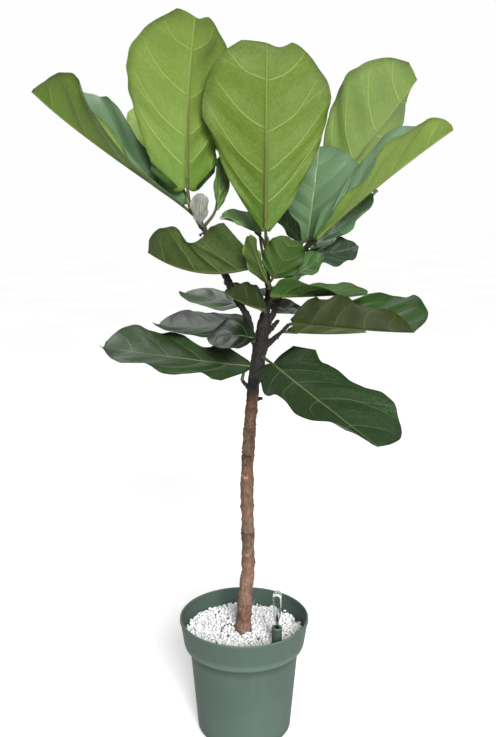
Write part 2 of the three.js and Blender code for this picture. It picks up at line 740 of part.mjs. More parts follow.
function gaugeWindow() {
  const { bore, top } = GAUGE.sleeve;
  const plug = bore - GAP;
  const profile = [
    [2, top - 36],
    [plug, top - 36],
    [plug, top - 16],
    [2.9, top - 12],
    [2.9, top + 8],
    [6, top + 22],
    [7.3, top + 42],
    [7.3, top + 57],
    [6.6, top + 61],
    [4.4, top + 63.5],
    [0, top + 64],
    [0, top + 58],
    [2, top + 57],
    [2, top - 36],
  ];
  return turned(profile, GAUGE.sides, GAUGE.x, GAUGE.y);
}

function gaugeFloat() {
  const { bore, bottom, top } = GAUGE.sleeve;
  const rod = 1.15;
  const bead = 1.65;
  const profile = [
    [0, bottom],
    [bore - 1, bottom],
    [bore - 1, bottom + 50],
    [rod, bottom + 54],
    [rod, top + 19],
    [bead, top + 20],
    [bead, top + 24],
    [rod, top + 25],
    [rod, top + 47],
    [bead, top + 48],
    [bead, top + 53],
    [0, top + 54],
  ];
  return turned(profile, 10, GAUGE.x, GAUGE.y);
}

// ---- materials ----------------------------------------------------------------------------------------
const paint = (color, roughness, more = {}) =>
  new THREE.MeshStandardMaterial({ color, roughness, metalness: 0, ...more });
const potGreen = paint(0x64796f, 0.5);
const whiteStone = paint(0xefefec, 0.85);
const darkEarth = paint(0x5a4232, 0.95);
const bark = paint(0x86654f, 0.85);
const leafGreen = paint(0x55733a, 0.45);
const paperySheath = paint(0xb9b6a6, 0.8);
const clearPlastic = paint(0xdfe6e2, 0.1, { transparent: true, opacity: 0.4 });
const darkPlastic = paint(0x2b2f30, 0.5);

// ---- the plant in its pot -----------------------------------------------------------------------------
const part = new THREE.Group();
part.name = "potted_fiddle_leaf_fig";

const wood = woodSolid();
const woodRoom = woodSolid(GAP);
const sleeveRoom = turned(
  [
    [0, GAUGE.sleeve.bottom - GAP],
    [GAUGE.sleeve.radius + GAP, GAUGE.sleeve.bottom - GAP],
    [GAUGE.sleeve.radius + GAP, POT.height],
    [0, POT.height],
  ],
  GAUGE.sides,
  GAUGE.x,
  GAUGE.y,
);
const holes = woodRoom.add(sleeveRoom);

const leaves = new THREE.Group();
leaves.name = "leaves";
LEAVES.forEach((leaf) => {
  const material = leaf.name === "shoot_sheath" ? paperySheath : leafGreen;
  leaves.add(meshOf(leaf.name, leafSolid(leaf, woodRoom), material));
});

const gauge = new THREE.Group();
gauge.name = "water_gauge";
gauge.add(
  meshOf("gauge_sleeve", gaugeSleeve(), potGreen),
  meshOf("gauge_window", gaugeWindow(), clearPlastic),
  meshOf("gauge_float", gaugeFloat(), darkPlastic),
);

part.add(
  meshOf("pot", potSolid(), potGreen),
  meshOf("growing_medium", mediumSolid(holes), darkEarth),
  meshOf("white_gravel", gravelSolid(holes), whiteStone),
  meshOf("stem_and_shoots", wood, bark),
  gauge,
  leaves,
);

export default part;
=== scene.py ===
"""The potted fiddle leaf fig, dressed: every leaf with its veins and quilting, the bark, the loose white
gravel, the moulded pot and the water gauge. Sizes are in millimetres until a mesh is made, +Z up."""
import math

import bmesh
import bpy
import numpy as np
from mathutils import Euler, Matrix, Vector


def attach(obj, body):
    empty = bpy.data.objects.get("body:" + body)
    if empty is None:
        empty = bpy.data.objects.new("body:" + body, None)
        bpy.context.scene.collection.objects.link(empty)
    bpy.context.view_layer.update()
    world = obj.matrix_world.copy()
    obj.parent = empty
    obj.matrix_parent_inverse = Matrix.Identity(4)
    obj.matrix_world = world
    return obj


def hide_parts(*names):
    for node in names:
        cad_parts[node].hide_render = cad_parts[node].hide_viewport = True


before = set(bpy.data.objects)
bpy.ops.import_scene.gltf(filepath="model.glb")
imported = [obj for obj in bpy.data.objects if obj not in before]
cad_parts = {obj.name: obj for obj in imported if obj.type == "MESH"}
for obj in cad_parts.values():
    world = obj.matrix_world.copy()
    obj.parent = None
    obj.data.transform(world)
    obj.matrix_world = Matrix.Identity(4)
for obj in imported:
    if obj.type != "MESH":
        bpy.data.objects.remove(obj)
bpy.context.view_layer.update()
MM = 0.001

# ---- the plant's own measures, as in the solids ----
POT = {
    "height": 205, "rim": 110, "collar": 102.5, "collar_bottom": 156, "neck": 92.5, "neck_height": 146,
    "foot": 80.5, "edge": 8, "wall": 3, "floor": 5,
}
GRAVEL_TOP = 173
GRAVEL_HOLE, GRAVEL_RADIUS = 13.9, 99.5  # of the bed under the loose chips
CHIPS = {"sizes": (6.0, 9.4), "shapes": 24, "share_dark": 0.008, "from_stem": 15.4, "from_gauge": 3.2}
GAUGE = {"x": 55, "y": -45, "radius": 8.2, "bore": 6.4, "bottom": 40, "top": 206}

# Millimetres from one ring to the next, and a run of [x, y, z, radius].
BRANCHES = {
    "stem": (38, [[-4, 0, 60, 13.5], [-2, 0, 172, 13.2], [3, 0, 250, 11.2], [7, 0, 305, 10.8],
        [6, 0, 376, 10.4], [5, 0, 446, 10.2], [8, 0, 515, 10], [12, 0, 566, 9.8], [16, 0, 608, 9.6],
        [22, 0, 646, 11.4], [27, 0, 676, 11], [31, 0, 706, 9.4], [34, -1, 728, 6]]),
    "left": (32, [[24, 0, 650, 5.5], [15, -3, 682, 4.6], [9, -8, 712, 4.8], [-2, -14, 735, 5.4],
        [-15, -20, 757, 5.7], [-28, -25, 787, 5.8], [-44, -30, 824, 5.4], [-59, -32, 855, 5],
        [-73, -34, 880, 4.2], [-84, -36, 898, 3.2]]),
    "middle": (30, [[32, 0, 712, 7], [36, -6, 731, 6.6], [40, -12, 753, 6], [37, -20, 780, 5],
        [34, -30, 809, 4], [35, -42, 836, 3.2]]),
    "right": (30, [[31, 2, 698, 5], [41, 4, 712, 4.6], [52, 6, 736, 4.4], [64, 8, 771, 4.3],
        [78, 10, 797, 4.3], [91, 14, 817, 4.2], [104, 19, 836, 4], [113, 40, 855, 3.7], [122, 68, 874, 3.3],
        [130, 92, 888, 2.8]]),
    "spurRight": (24, [[27, 0, 664, 5], [40, -4, 676, 4.2], [58, -10, 695, 3.8], [73, -15, 710, 3]]),
    "spurMiddle": (24, [[31, 0, 688, 5], [44, -4, 701, 4], [56, -8, 716, 3]]),
    "spurLeft": (24, [[15, 0, 596, 4.5], [6, -8, 607, 3.8], [-3, -15, 619, 3]]),
    "stub": (24, [[12, 0, 582, 3.4], [24, -2, 585, 2.6], [31, -2, 586, 2.2]]),
}
STEM_X, _, STEM_Z, _ = zip(*BRANCHES["stem"][1])
DARK_ABOVE = 585  # the stem is dark and purplish over this height
# Rings round the bare stem: how high each lies, how dark it is, and how much it peels into a pale fleck.
CRACKS = [[317.5, 0.15, 1], [355, 1, 0], [453.4, 0.15, 1], [491, 1, 0], [537.4, 0.5, 0.2]]
# Round scars of fallen leaves on the stem, as [x, y, z, radius].
LEAF_SCARS = [
    [16, -8, 566, 3.4], [3, -9.5, 476, 3.2], [14, -6, 430, 3], [-4, -5, 402, 3.2], [1, -10.5, 322, 3.4],
    [12, -9, 285, 3.2], [-6, -8, 232, 3.6], [7, 9, 360, 3.2], [2, 10, 500, 3.2], [-3, 12, 262, 3.4],
    [17, -8, 632, 3.2], [33, -8, 690, 3], [22, 10, 640, 3.2]]
# Each bud: where it starts, its way, length and radius, and its sRGB tone. The last two have withered.
BUDS = [
    [[-84, -36, 897], [-0.25, -0.1, 1], 17, 3, (104, 112, 62)],
    [[35, -42, 835], [0.1, -0.35, 1], 15, 2.8, (96, 104, 58)],
    [[130, 92, 887], [0.3, 0.3, 1], 16, 2.6, (96, 104, 58)],
    [[-59, -36, 855], [-1, -0.6, -0.35], 10, 1.6, (60, 46, 40)],
    [[-66, -40, 850], [-0.6, -0.8, 0.5], 5, 1.9, (52, 40, 36)]]
DRY_ROOT = [
    [-40, -18, 179, 0.7], [-38, -8, 182, 1], [-32, 3, 183.5, 1.1], [-24, 8, 183, 1.2], [-15, 6, 181, 1.3]]

# Hundredths of a blade's length, and its half width there in hundredths of its greatest half width.
OUTLINES = {
    "tear": [[0, 6, 13, 20, 32, 42, 54, 62, 68, 78, 87, 94, 100],
             [12, 31, 41, 49, 67, 79, 90, 97, 100, 95, 83, 66, 38]],
    "broad": [[0, 4, 9, 15, 23, 33, 43, 54, 62, 68, 78, 87, 94, 100],
              [22, 42, 52, 57, 63, 71, 80, 90, 97, 100, 95, 83, 66, 38]],
    "fiddle": [[0, 5, 11, 20, 30, 42, 54, 64, 74, 83, 91, 96.5, 100],
               [16, 42, 54, 53, 55, 72, 94, 100, 97, 84, 60, 36, 12]],
    "violin": [[0, 5, 12, 22, 34, 46, 56, 66, 76, 83, 90, 96, 100],
               [30, 66, 92, 100, 90, 70, 64, 72, 84, 86, 80, 62, 35]],
    "lyre": [[0, 4, 10, 20, 30, 42, 54, 64, 74, 84, 92, 97, 100],
             [24, 50, 62, 66, 70, 80, 92, 100, 100, 92, 74, 55, 30]],
    "eared": [[0, 3, 8, 15, 24, 34, 46, 58, 68, 76, 84, 91, 96, 100],
              [50, 68, 76, 73, 65, 64, 72, 88, 98, 100, 94, 80, 60, 30]],
    "round": [[0, 5, 12, 22, 35, 48, 60, 72, 82, 90, 96, 100],
              [18, 48, 70, 87, 97, 100, 99, 94, 84, 68, 47, 20]],
    "oval": [[0, 5, 12, 22, 33, 44, 54, 64, 74, 84, 92, 97, 100],
             [14, 36, 56, 75, 89, 98, 100, 97, 88, 72, 50, 30, 10]],
}
# Along a blade's midrib: 1 on a sunk side vein, -1 on the swelling between two, and where the veins start.
LARGE_ROWS = [[0, 0], [0.014, 0], [0.06, -0.5], [0.13, 1], [0.21, -1], [0.3, 1], [0.41, -1], [0.53, 1],
              [0.66, -1], [0.8, 1], [0.91, -0.4], [1, 0]]
SMALL_ROWS = [[0, 0], [0.03, 0], [0.12, 1], [0.26, -1], [0.44, 1], [0.66, -1], [0.86, 0.4], [1, 0]]
LARGE_VEINS = [0.13, 0.3, 0.53, 0.8]
SMALL_VEINS = [0.12, 0.44, 0.8]
SMALL_UNDER = 130  # a blade shorter than this is a small one
SLANT = 0.38  # how far the side veins run towards the tip
QUILTING = 1.9
RIB_DEPTH = 3.0
STALK_RADIUS = 2.5
THICK_MIDDLE, THICK_MARGIN = 0.9, 0.45
PLAIN_VEINS = 0.3  # leaves with fainter veins than this are also quilted less
PALE_RIMS = ("leaf_front_folded", "leaf_right_thin")
STEPS = 96  # along a midrib
COLUMNS = [0, 0.012, 0.026, 0.042, 0.062, 0.09, 0.13, 0.18, 0.24, 0.31, 0.38, 0.46, 0.54, 0.62, 0.7, 0.77,
           0.84, 0.9, 0.95, 0.985, 1]

# sRGB colours of the two faces of a leaf.
TONES = {
    # The palest tone is lifted with painted light, for a leaf underside that lies in shade yet is made to
    # look brightly lit.
    "fresh": (100, 121, 46), "lime": (81, 103, 24), "pale": (102, 125, 60), "straw": (190, 221, 126),
    "olive": (82, 104, 36), "moss": (48, 65, 12), "khaki": (58, 70, 5), "fern": (60, 94, 30),
    "bright": (62, 92, 34), "glossy": (68, 103, 53), "soft": (98, 130, 74), "sage": (78, 102, 48),
    # The darkest tone is dark green with painted shade, for a leaf whose upper face lies in shade behind the
    # others.
    "green": (66, 95, 50), "wood": (43, 78, 25), "deep": (35, 58, 32), "night": (7, 21, 3),
    "meadow": (44, 70, 8), "willow": (64, 84, 28), "ash": (34, 53, 36), "leafy": (69, 84, 28),
    "mist": (96, 124, 92), "teal": (84, 122, 88), "slate": (50, 69, 52), "grey": (84, 105, 80),
    "dusk": (14, 29, 9), "murk": (37, 51, 11), "sheath": (134, 140, 128),
}

# Each leaf: its name, its outline (or one for each half), the branch and the share of it where it grows, the
# tones of its upper and lower face, where its blade starts, its turn about +Z and the turn's change, then
# from foot to tip its rise and roll, its length and width, the folds at foot and tip of its left and right
# half (then their curls there, if any), its margin's wave (height, count, phase), the tip's humps as
# [across, reach, width] or the depth of a plain notch, how strong its veins are, and by how many degrees its
# foot's rim is folded under.
FIELDS = ("name", "outline", "from", "tones", "at", "aim", "rise", "roll", "size", "left", "right", "wave",
          "tip", "veins", "ears")
LEAVES = [
    ["leaf_left_outer", "fiddle", ["left", 0.86], ["mist", "olive"], [-93, -30, 896], [166, -36], [33, 28],
     [-33, 33], [366, 148], [48, 90, -30, -10], [60, 50, 12, 6], [6, 3, 40], [[14, 8, 12]]],
    ["leaf_left_upright", "broad", ["left", 0.98], ["bright", "fresh"], [-86, -40, 922], [-65, 13], [90, 75],
     [-1, 11], [246, 199], [17, 9, 0, 7], [17, 5, 6, -5], [5, 3, 150],
     [[-34, 2, 18], [10, -7, 20], [36, -2, 8]], 0.55, 165],
    # This leaf's lower tone carries painted light: it is lifted to look brightly lit though the leaf lies in
    # shade.
    ["leaf_left_rear", "oval", ["left", 0.93], ["bright", "straw"], [-110, 39, 942], [166, 0], [54, 50],
     [78, 78], [128, 80], [12, 12], [12, 12], [4, 2, 0], 2],
    ["leaf_left_slim", "oval", ["left", 0.8], ["sage", "olive"], [-41, -14, 889], [76, -2], [78, 68],
     [64, 62], [85, 36], [22, 22], [20, 20], [2, 2, 0], 1, 0.3],
    ["shoot_sheath", "oval", ["left", 0.8], ["sheath", "sheath"], [-66, -50, 868], [-80, 0], [80, 84], [0, 0],
     [46, 34], [30, 20, 20, 20], [30, 20, 20, 20], [2, 2, 60], 1, 0],
    ["leaf_front_upright", "tear", ["middle", 0.97], ["bright", "lime"], [33, -60, 862], [-104, 0], [90, 92],
     [0, 14], [266, 194], [17, 6, 6, 10], [16, 2, 0, -5], [5, 3, 200],
     [[18, -7, 16], [46, 3, 13], [-33, 2, 20]]],
    ["leaf_rear_small", "oval", ["middle", 0.94], ["soft", "olive"], [25, -8, 850], [150, 4], [36, 8],
     [-8, -20], [76, 54], [23, 15], [25, 22], [3, 2, 0], 1],
    # This leaf's upper tone is dark green with painted shade: its top lies in shade behind the other leaves.
    ["leaf_rear_dark", "oval", ["right", 0.7], ["night", "moss"], [92, 6, 835], [172, 4], [51, 50], [-9, -25],
     [84, 70], [5, 5], [5, 12], [3, 2, 90], 1, 0.15],
    ["leaf_right_upright", "tear", ["right", 0.99], ["bright", "pale"], [142, 118, 907], [-12, 22], [54, 52],
     [-75, -37], [245, 200], [7, 23, -4, 11], [19, 25, 7, 14], [6, 3, 100], [[0, -4, 14], [22, 3, 9]], 0.75],
    ["leaf_right_outer", "fiddle", ["right", 0.62], ["mist", "fresh"], [113, -28, 845], [0, 0], [43, 34],
     [14, 5], [264, 131], [43, 43, -1, -2], [44, 56, -15, -4], [6, 3, 20], 4],
    ["leaf_right_pale", "oval", ["right", 0.76], ["mist", "lime"], [103, 28, 841], [58, 15], [76, 66],
     [-18, 7], [160, 160], [10, 8], [9, 8, 3, 0], [4, 3, 0], 3],
    ["leaf_right_teal", "lyre", ["right", 0.72], ["teal", "olive"], [108, 40, 829], [21, 0], [30, 42],
     [16, 0], [146, 98], [-3, 15, -10, 2], [-3, 21, -7, 10], [5, 3, 60], 3],
    ["leaf_right_grey", "oval", ["right", 0.62], ["slate", "olive"], [103, 26, 821], [4, 0], [-9, 24],
     [10, 13], [84, 92], [8, 25, -18, -13], [-10, 0, -16, -6], [3, 3, 0], 2, 0.28],
    ["leaf_left_middle", "violin", ["middle", 0.62], ["green", "moss"], [16, -70, 806], [172, -6], [-20, 34],
     [6, -12], [177, 165], [64, 60, 0, 10], [50, -25], [5, 3, 0], 4, 0.32],
    ["leaf_front_cup", "round", ["middle", 0.56], ["bright", "meadow"], [45, -60, 788], [-15, 0], [60, 66],
     [-72, -66], [66, 64], [16, 10], [16, 10], [3, 3, 0], 2, 0.12],
    ["leaf_front_folded", "oval", ["middle", 0.5], ["bright", "willow"], [37, -80, 780], [-124, 10], [43, 67],
     [35, 20], [92, 44], [84, 84], [28, 33, -3, 0], [3, 3, 120], 2, 0.1],
    ["leaf_front_glossy", "oval", ["right", 0.42], ["glossy", "moss"], [72, -14, 781], [-10, -5], [36, 28],
     [8, 24], [66, 66], [19, 22, -4, 0], [0, -4, -6, -8], [3, 2, 0], 2],
    ["leaf_right_thin", ["oval", "round"], ["middle", 0.32], ["green", "fern"], [43, -36, 757], [-20, 6],
     [2, 5], [2, 8], [152, 95], [15, 10], [62, -3], [2, 3, 0], 2, 0.35],
    ["leaf_inner_left", "oval", ["middle", 0.12], ["dusk", "murk"], [34, -30, 735], [187, 3], [9, 40],
     [10, 10], [72, 80], [48, 48], [20, 20], [3, 3, 0], 1, 0.1],
    ["leaf_inner_right", "oval", ["right", 0.24], ["slate", "moss"], [38, 22, 735], [11, -6], [-6, -6],
     [22, 6], [62, 68], [7, 5], [0, 4], [1, 2, 0], 1, 0.3],
    ["leaf_right_middle", "oval", ["spurRight", 0.97], ["wood", "khaki"], [80, -20, 714], [-31, -38], [-2, 7],
     [2, 6], [246, 165], [32, 32, -5, 0], [46, 54, -8, -20], [5, 3, 0], 3, 0.3],
    ["leaf_right_under", "oval", ["spurRight", 0.7], ["wood", "leafy"], [73, 10, 695], [1, 0], [-6, 4],
     [-19, 14], [127, 92], [25, 25], [42, 30, -2, -5], [4, 3, 60], 2, 0.35],
    ["leaf_right_lower", ["eared", "lyre"], ["stem", 0.78], ["deep", "moss"], [46, -44, 651], [-73, 22],
     [-6, -20], [24, -10], [292, 168], [17, 9], [12, 17, 14, -3], [6, 3, 30], 5, 0.5],
    ["leaf_left_lower", "lyre", ["spurLeft", 0.97], ["deep", "moss"], [6, -36, 646], [176, 0], [5, 9],
     [-4, -4], [234, 158], [-14, 8, -2, 4], [14, 20, -10, 0], [6, 3, 100], 3],
    ["leaf_left_grey", "lyre", ["left", 0.18], ["ash", "olive"], [0, 62, 706], [167, 0], [-17, 7], [-10, 9],
     [156, 145], [-10, 6, -10, 2], [8, 17, -5, 20], [2, 2, 40], 2, 0.24],
    ["leaf_left_thin", "lyre", ["left", 0.3], ["grey", "olive"], [-6, 34, 737], [152, 4], [3, 11], [-16, 4],
     [107, 96], [-8, 8, -8, 0], [8, 16, -10, -8], [1, 2, 90], 2, 0.28],
    ["leaf_left_inner", "oval", ["left", 0.1], ["dusk", "moss"], [14, -40, 691], [187, 0], [17, -20],
     [-29, -5], [74, 108], [14, -5, 3, -4], [24, -4, -6, -20], [1, 2, 30], 2, 0.22],
    ["leaf_back_upright", "tear", ["middle", 0.46], ["bright", "fresh"], [22, 76, 886], [100, -6], [66, 60],
     [6, -6], [205, 145], [14, 8], [14, 8], [5, 3, 0], 4],
    ["leaf_back_middle", "fiddle", ["right", 0.3], ["deep", "moss"], [42, 34, 748], [92, 10], [4, -10],
     [0, 4], [205, 135], [12, 8], [14, 8], [5, 3, 0], 4],
]


# ---- small tools ----
def mix(a, b, t):
    return a + (b - a) * t


def smooth(low, high, x):
    t = np.clip((np.asarray(x, float) - low) / (high - low), 0, 1)
    return t * t * (3 - 2 * t)


def near(away, width):
    """1 at no distance, fading out beyond the width."""
    return np.exp(-(away / width) ** 2)


def linear(tone):
    """sRGB numbers up to 255 as linear ones up to 1."""
    c = np.asarray(tone, float) / 255
    return np.where(c > 0.04045, ((c + 0.055) / 1.055) ** 2.4, c / 12.92)


def rgb(*tone):
    return tuple(linear(tone))


def curve_through(points):
    """A smooth curve through [x, y] points that never overshoots them."""
    x, y = np.array(points, float).T
    width = np.diff(x)
    slope = np.diff(y) / width
    inner = slope[:-1] * slope[1:]
    total = slope[:-1] + slope[1:]
    tangent = np.concatenate([
        slope[:1], np.where(inner <= 0, 0, 2 * inner / np.where(total == 0, 1, total)), slope[-1:]])

    def value(at):
        at = np.asarray(at, float)
        i = np.clip(np.searchsorted(x, at, side="left") - 1, 0, len(x) - 2)
        h = width[i]
        t = (at - x[i]) / h
        rest = 1 - t
        return ((1 + 2 * t) * rest ** 2 * y[i] + t * rest ** 2 * h * tangent[i]
                + t * t * (3 - 2 * t) * y[i + 1] - t * t * rest * h * tangent[i + 1])

    return value


def along_points(points, t):
    """Points of a smooth run through 3-D points (further numbers run along), t from 0 to 1."""
    points = np.array(points, float)
    last = len(points) - 1
    x = np.clip(np.atleast_1d(t), 0, 1) * last
    i = np.minimum(x.astype(int), last - 1)
    u = (x - i)[:, None]
    a, b, c, d = (points[np.clip(i + k, 0, last)] for k in (-1, 0, 1, 2))
    return b + 0.5 * u * (c - a + u * (2 * a - 5 * b + 4 * c - d + u * (3 * (b - c) + d - a)))


def unit(v):
    return v / np.maximum(np.linalg.norm(v, axis=-1, keepdims=True), 1e-12)


def waves(places, scale, seed, octaves=3):
    """A repeatable smooth noise between about -1 and 1 at 3-D places, made of crossing sine waves."""
    random = np.random.default_rng(seed)
    total = np.zeros(len(places))
    for octave in range(octaves):
        for _ in range(5):
            way = unit(random.normal(size=3)) * 2 ** octave / scale
            total += np.sin(places @ way * 2 * np.pi + random.uniform(0, 7)) / (2.4 * 2 ** octave)
    return total


def grid_faces(rows, columns, closed=False):
    """Quads of a grid of vertices in rows. closed joins each row's end to its start."""
    j, k = np.meshgrid(np.arange(rows - 1), np.arange(columns if closed else columns - 1), indexing="ij")
    a = j * columns + k
    b = j * columns + (k + 1) % columns
    return np.stack([a, b, b + columns, a + columns], -1).reshape(-1, 4)


def joined(parts):
    """Several pairs of vertices and faces as one pair."""
    vertices, faces, start = [], [], 0
    for places, quads in parts:
        vertices.append(places)
        faces.extend([i + start for i in f] for f in quads)
        start += len(places)
    return np.concatenate(vertices), faces


def add_numbers(mesh, numbers):
    """Stores numbers or vectors per vertex, each under its name."""
    for key, values in numbers.items():
        values = np.asarray(values, np.float32)
        kind, field = ("FLOAT", "value") if values.ndim == 1 else ("FLOAT_VECTOR", "vector")
        mesh.attributes.new(key, kind, "POINT").data.foreach_set(field, values.ravel())


def linked(name, data):
    """An object of this data, in the scene."""
    made = bpy.data.objects.new(name, data)
    bpy.context.scene.collection.objects.link(made)
    return made


def mesh_object(name, places, faces, material, numbers=(), is_smooth=True):
    """A mesh in metres from places in millimetres."""
    mesh = bpy.data.meshes.new(name)
    mesh.from_pydata((np.asarray(places) * MM).tolist(), [], [list(map(int, f)) for f in faces])
    add_numbers(mesh, dict(numbers))
    mesh.polygons.foreach_set("use_smooth", [is_smooth] * len(mesh.polygons))
    give(mesh, material)
    mesh.update()
    return linked(name, mesh)


def give(mesh, material):
    mesh.materials.clear()
    mesh.materials.append(material)


def settle(piece, slot, *nodes):
    """The piece rides on the part and stands for these solids. The slot is not used."""
    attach(piece, "root")
    if nodes:
        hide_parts(*nodes)


def turned(name, profile, sides, material, x=0, y=0):
    """A closed round body about +Z from [radius, height] points that start and end on the axis, or close."""
    profile = np.array(profile, float)
    closes = np.allclose(profile[0], profile[-1])
    places, faces, rings = [], [], []
    for radius, height in profile[:-1] if closes else profile:
        count = 1 if radius < 1e-6 else sides
        angle = np.arange(count) * 2 * np.pi / sides
        rings.append(len(places) + np.arange(sides) % count)
        places.extend(zip(x + radius * np.cos(angle), y + radius * np.sin(angle), [height] * count))
    for low, high in zip(rings, [*rings[1:], rings[0]] if closes else rings[1:]):
        for k in range(sides):
            faces.append(list(dict.fromkeys([low[k - 1], low[k], high[k], high[k - 1]])))
    return mesh_object(name, places, faces, material)


def rounded(points, radius, steps):
    """An open outline with each inner corner turned into an arc-like bend of about that radius."""
    points = [np.array(p, float) for p in points]
    out = [points[0]]
    for before, corner, after in zip(points, points[1:], points[2:]):
        reach = min(radius, np.linalg.norm(corner - before) * 0.45, np.linalg.norm(after - corner) * 0.45)
        start = corner + unit(before - corner) * reach
        end = corner + unit(after - corner) * reach
        for t in np.linspace(0, 1, steps):
            out.append((1 - t) ** 2 * start + 2 * t * (1 - t) * corner + t * t * end)
    return np.array([*out, points[-1]])


def tube(places, radii, sides):
    """Vertices and faces of a closed round sweep."""
    places = np.asarray(places, float)
    side = np.array([0.0, 1.0, 0.0])
    angle = np.arange(sides)[:, None] * 2 * np.pi / sides
    vertices = []
    for place, way, radius in zip(places, unit(np.gradient(places, axis=0)), radii):
        side = unit(side - way * (side @ way))
        vertices.append(place + radius * (np.cos(angle) * side + np.sin(angle) * np.cross(way, side)))
    count = len(places)
    last = (count - 1) * sides
    faces = grid_faces(count, sides, closed=True).tolist()
    for k in range(sides):
        n = (k + 1) % sides
        faces.extend([[count * sides, n, k], [count * sides + 1, last + k, last + n]])
    return np.concatenate([*vertices, places[:1], places[-1:]]), faces


# ---- materials ----
class Shader:
    """A node material built by short calls. A value given to plug is a number, a colour or a socket."""

    def __init__(self, name):
        self.material = bpy.data.materials.new(name)
        self.material.use_nodes = True
        self.tree = self.material.node_tree
        self.surface = self.tree.nodes["Principled BSDF"]

    def plug(self, socket, value):
        if isinstance(value, bpy.types.NodeSocket):
            self.tree.links.new(value, socket)
        elif isinstance(value, tuple) and len(value) == 3 and socket.type == "RGBA":
            socket.default_value = (*value, 1)
        else:
            socket.default_value = value

    def node(self, kind, inputs, out=0, **settings):
        made = self.tree.nodes.new("ShaderNode" + kind)
        for key, value in settings.items():
            setattr(made, key, value)
        for key, value in inputs.items():
            self.plug(made.inputs[key], value)
        return made.outputs[out]

    def math(self, operation, *values):
        return self.node("Math", dict(enumerate(values)), operation=operation)

    def times(self, a, b):
        return self.math("MULTIPLY", a, b)

    def ramp(self, value, low, high, start=0, end=1):
        """The value eased from start at low to end at high."""
        inputs = {"Value": value, "From Min": low, "From Max": high, "To Min": start, "To Max": end}
        return self.node("MapRange", inputs, interpolation_type="SMOOTHSTEP")

    def blend(self, share, a, b, mode="MIX"):
        return self.node("Mix", {0: share, 6: a, 7: b}, out=2, data_type="RGBA", blend_type=mode)

    def tint(self, share, tone, factors):
        """The tone, on its way to the tone times the factors by the share."""
        return self.blend(share, tone, self.blend(1, tone, factors, "MULTIPLY"))

    def attribute(self, name, out):
        return self.node("Attribute", {}, out=out, attribute_name=name)

    def parts(self, vector):
        return self.node("SeparateXYZ", {0: vector}, out=slice(0, 3))

    def place(self):
        return self.node("TexCoord", {}, out="Object")

    def drawn_out(self, share):
        """Places of which the height counts for only this share."""
        return self.node("Mapping", {"Vector": self.place(), "Scale": (1, 1, share)})

    def noise(self, scale, detail=3, roughness=0.55, vector=None, out="Fac"):
        inputs = {"Vector": vector or self.place(), "Scale": scale, "Detail": detail, "Roughness": roughness}
        return self.node("TexNoise", inputs, out=out)

    def cells(self, scale, vector=None, feature="F1"):
        inputs = {"Vector": vector or self.place(), "Scale": scale}
        return self.node("TexVoronoi", inputs, out="Distance", feature=feature)

    def bump(self, height, distance, strength):
        return self.node("Bump", {"Height": height, "Distance": distance, "Strength": strength})

    def finish(self, **sockets):
        for key, value in sockets.items():
            self.plug(self.surface.inputs[key.replace("_", " ")], value)
        return self.material


def leaf_material():
    """Reads the leaf's own numbers: tone and line are the colours of the blade and of its veins here, nerve
    and fork are (vein phase, millimetres for one phase, share of the way to the margin), spot is (metres
    along, metres across, half width of the midrib in metres) and under is 1 on the lower face."""
    s = Shader("leaf_skin")

    def from_vein(name):
        phase, spacing, share = s.parts(s.attribute(name, "Vector"))
        return s.math("ABSOLUTE", s.math("SUBTRACT", phase, s.math("ROUND", phase))), spacing, share

    away, spacing, share = from_vein("nerve")
    width = s.math("MULTIPLY_ADD", share, -0.62, 1)
    side = s.ramp(s.math("DIVIDE", s.times(away, spacing), width), 0.3, 1.15, 1, 0)
    side = s.times(side, s.ramp(share, 0.78, 0.98, 1, 0))
    away, spacing, _ = from_vein("fork")
    outer = s.times(s.ramp(s.times(away, spacing), 0.15, 0.75, 1, 0), s.ramp(share, 0.42, 0.6))
    outer = s.times(outer, s.ramp(share, 0.8, 1, 0.32, 0))
    gap = s.times(s.math("SUBTRACT", 0.5, away), spacing)
    between = s.times(s.ramp(gap, 0.1, 0.6, 1, 0), s.ramp(share, 0.3, 0.8, 0.2, 0))
    side = s.math("MAXIMUM", side, s.math("MAXIMUM", outer, between))
    along, across, rib = s.parts(s.attribute("spot", "Vector"))
    off = s.math("ABSOLUTE", across)
    middle = s.ramp(s.math("DIVIDE", off, rib), 0.55, 1.15, 1, 0)
    vein = s.math("MAXIMUM", s.times(side, 0.72), middle)

    flat = s.node("CombineXYZ", {0: s.math("MULTIPLY_ADD", off, -0.8, along), 1: s.times(across, 0.75)})
    drift = s.noise(60, 2, vector=flat, out="Color")
    drift = s.node("VectorMath", {0: drift, "Scale": 0.006}, operation="SCALE")
    warped = s.node("VectorMath", {0: flat, 1: drift}, operation="ADD")
    net = s.ramp(s.cells(85, warped, "DISTANCE_TO_EDGE"), 0, 0.09, 1, 0)
    mesh = s.ramp(s.cells(300, warped, "DISTANCE_TO_EDGE"), 0, 0.12, 1, 0)
    patch = s.noise(16, 4, 0.6)
    speck = s.noise(220, 2, 0.5)
    under = s.attribute("under", "Fac")
    line = s.attribute("line", "Color")
    tone = s.tint(s.ramp(patch, 0.3, 0.72, 0, 0.34), s.attribute("tone", "Color"), (0.62, 0.78, 0.6))
    for share in (s.ramp(speck, 0.35, 0.75, 0, 0.12), s.times(net, s.math("MULTIPLY_ADD", under, 0.02, 0.05)),
                  s.times(mesh, 0.03), vein):
        tone = s.blend(share, tone, line)
    relief = s.math("MULTIPLY_ADD", mesh, 0.25, s.times(net, 0.75))
    sign = s.math("MULTIPLY_ADD", under, 2.0, -1)
    rough = s.math("MULTIPLY_ADD", under, 0.24, s.ramp(patch, 0.3, 0.7, 0.34, 0.46))
    return s.finish(Base_Color=tone, Roughness=rough, Specular_IOR_Level=0.33,
                    Normal=s.bump(s.times(relief, sign), 0.0004, 0.4))


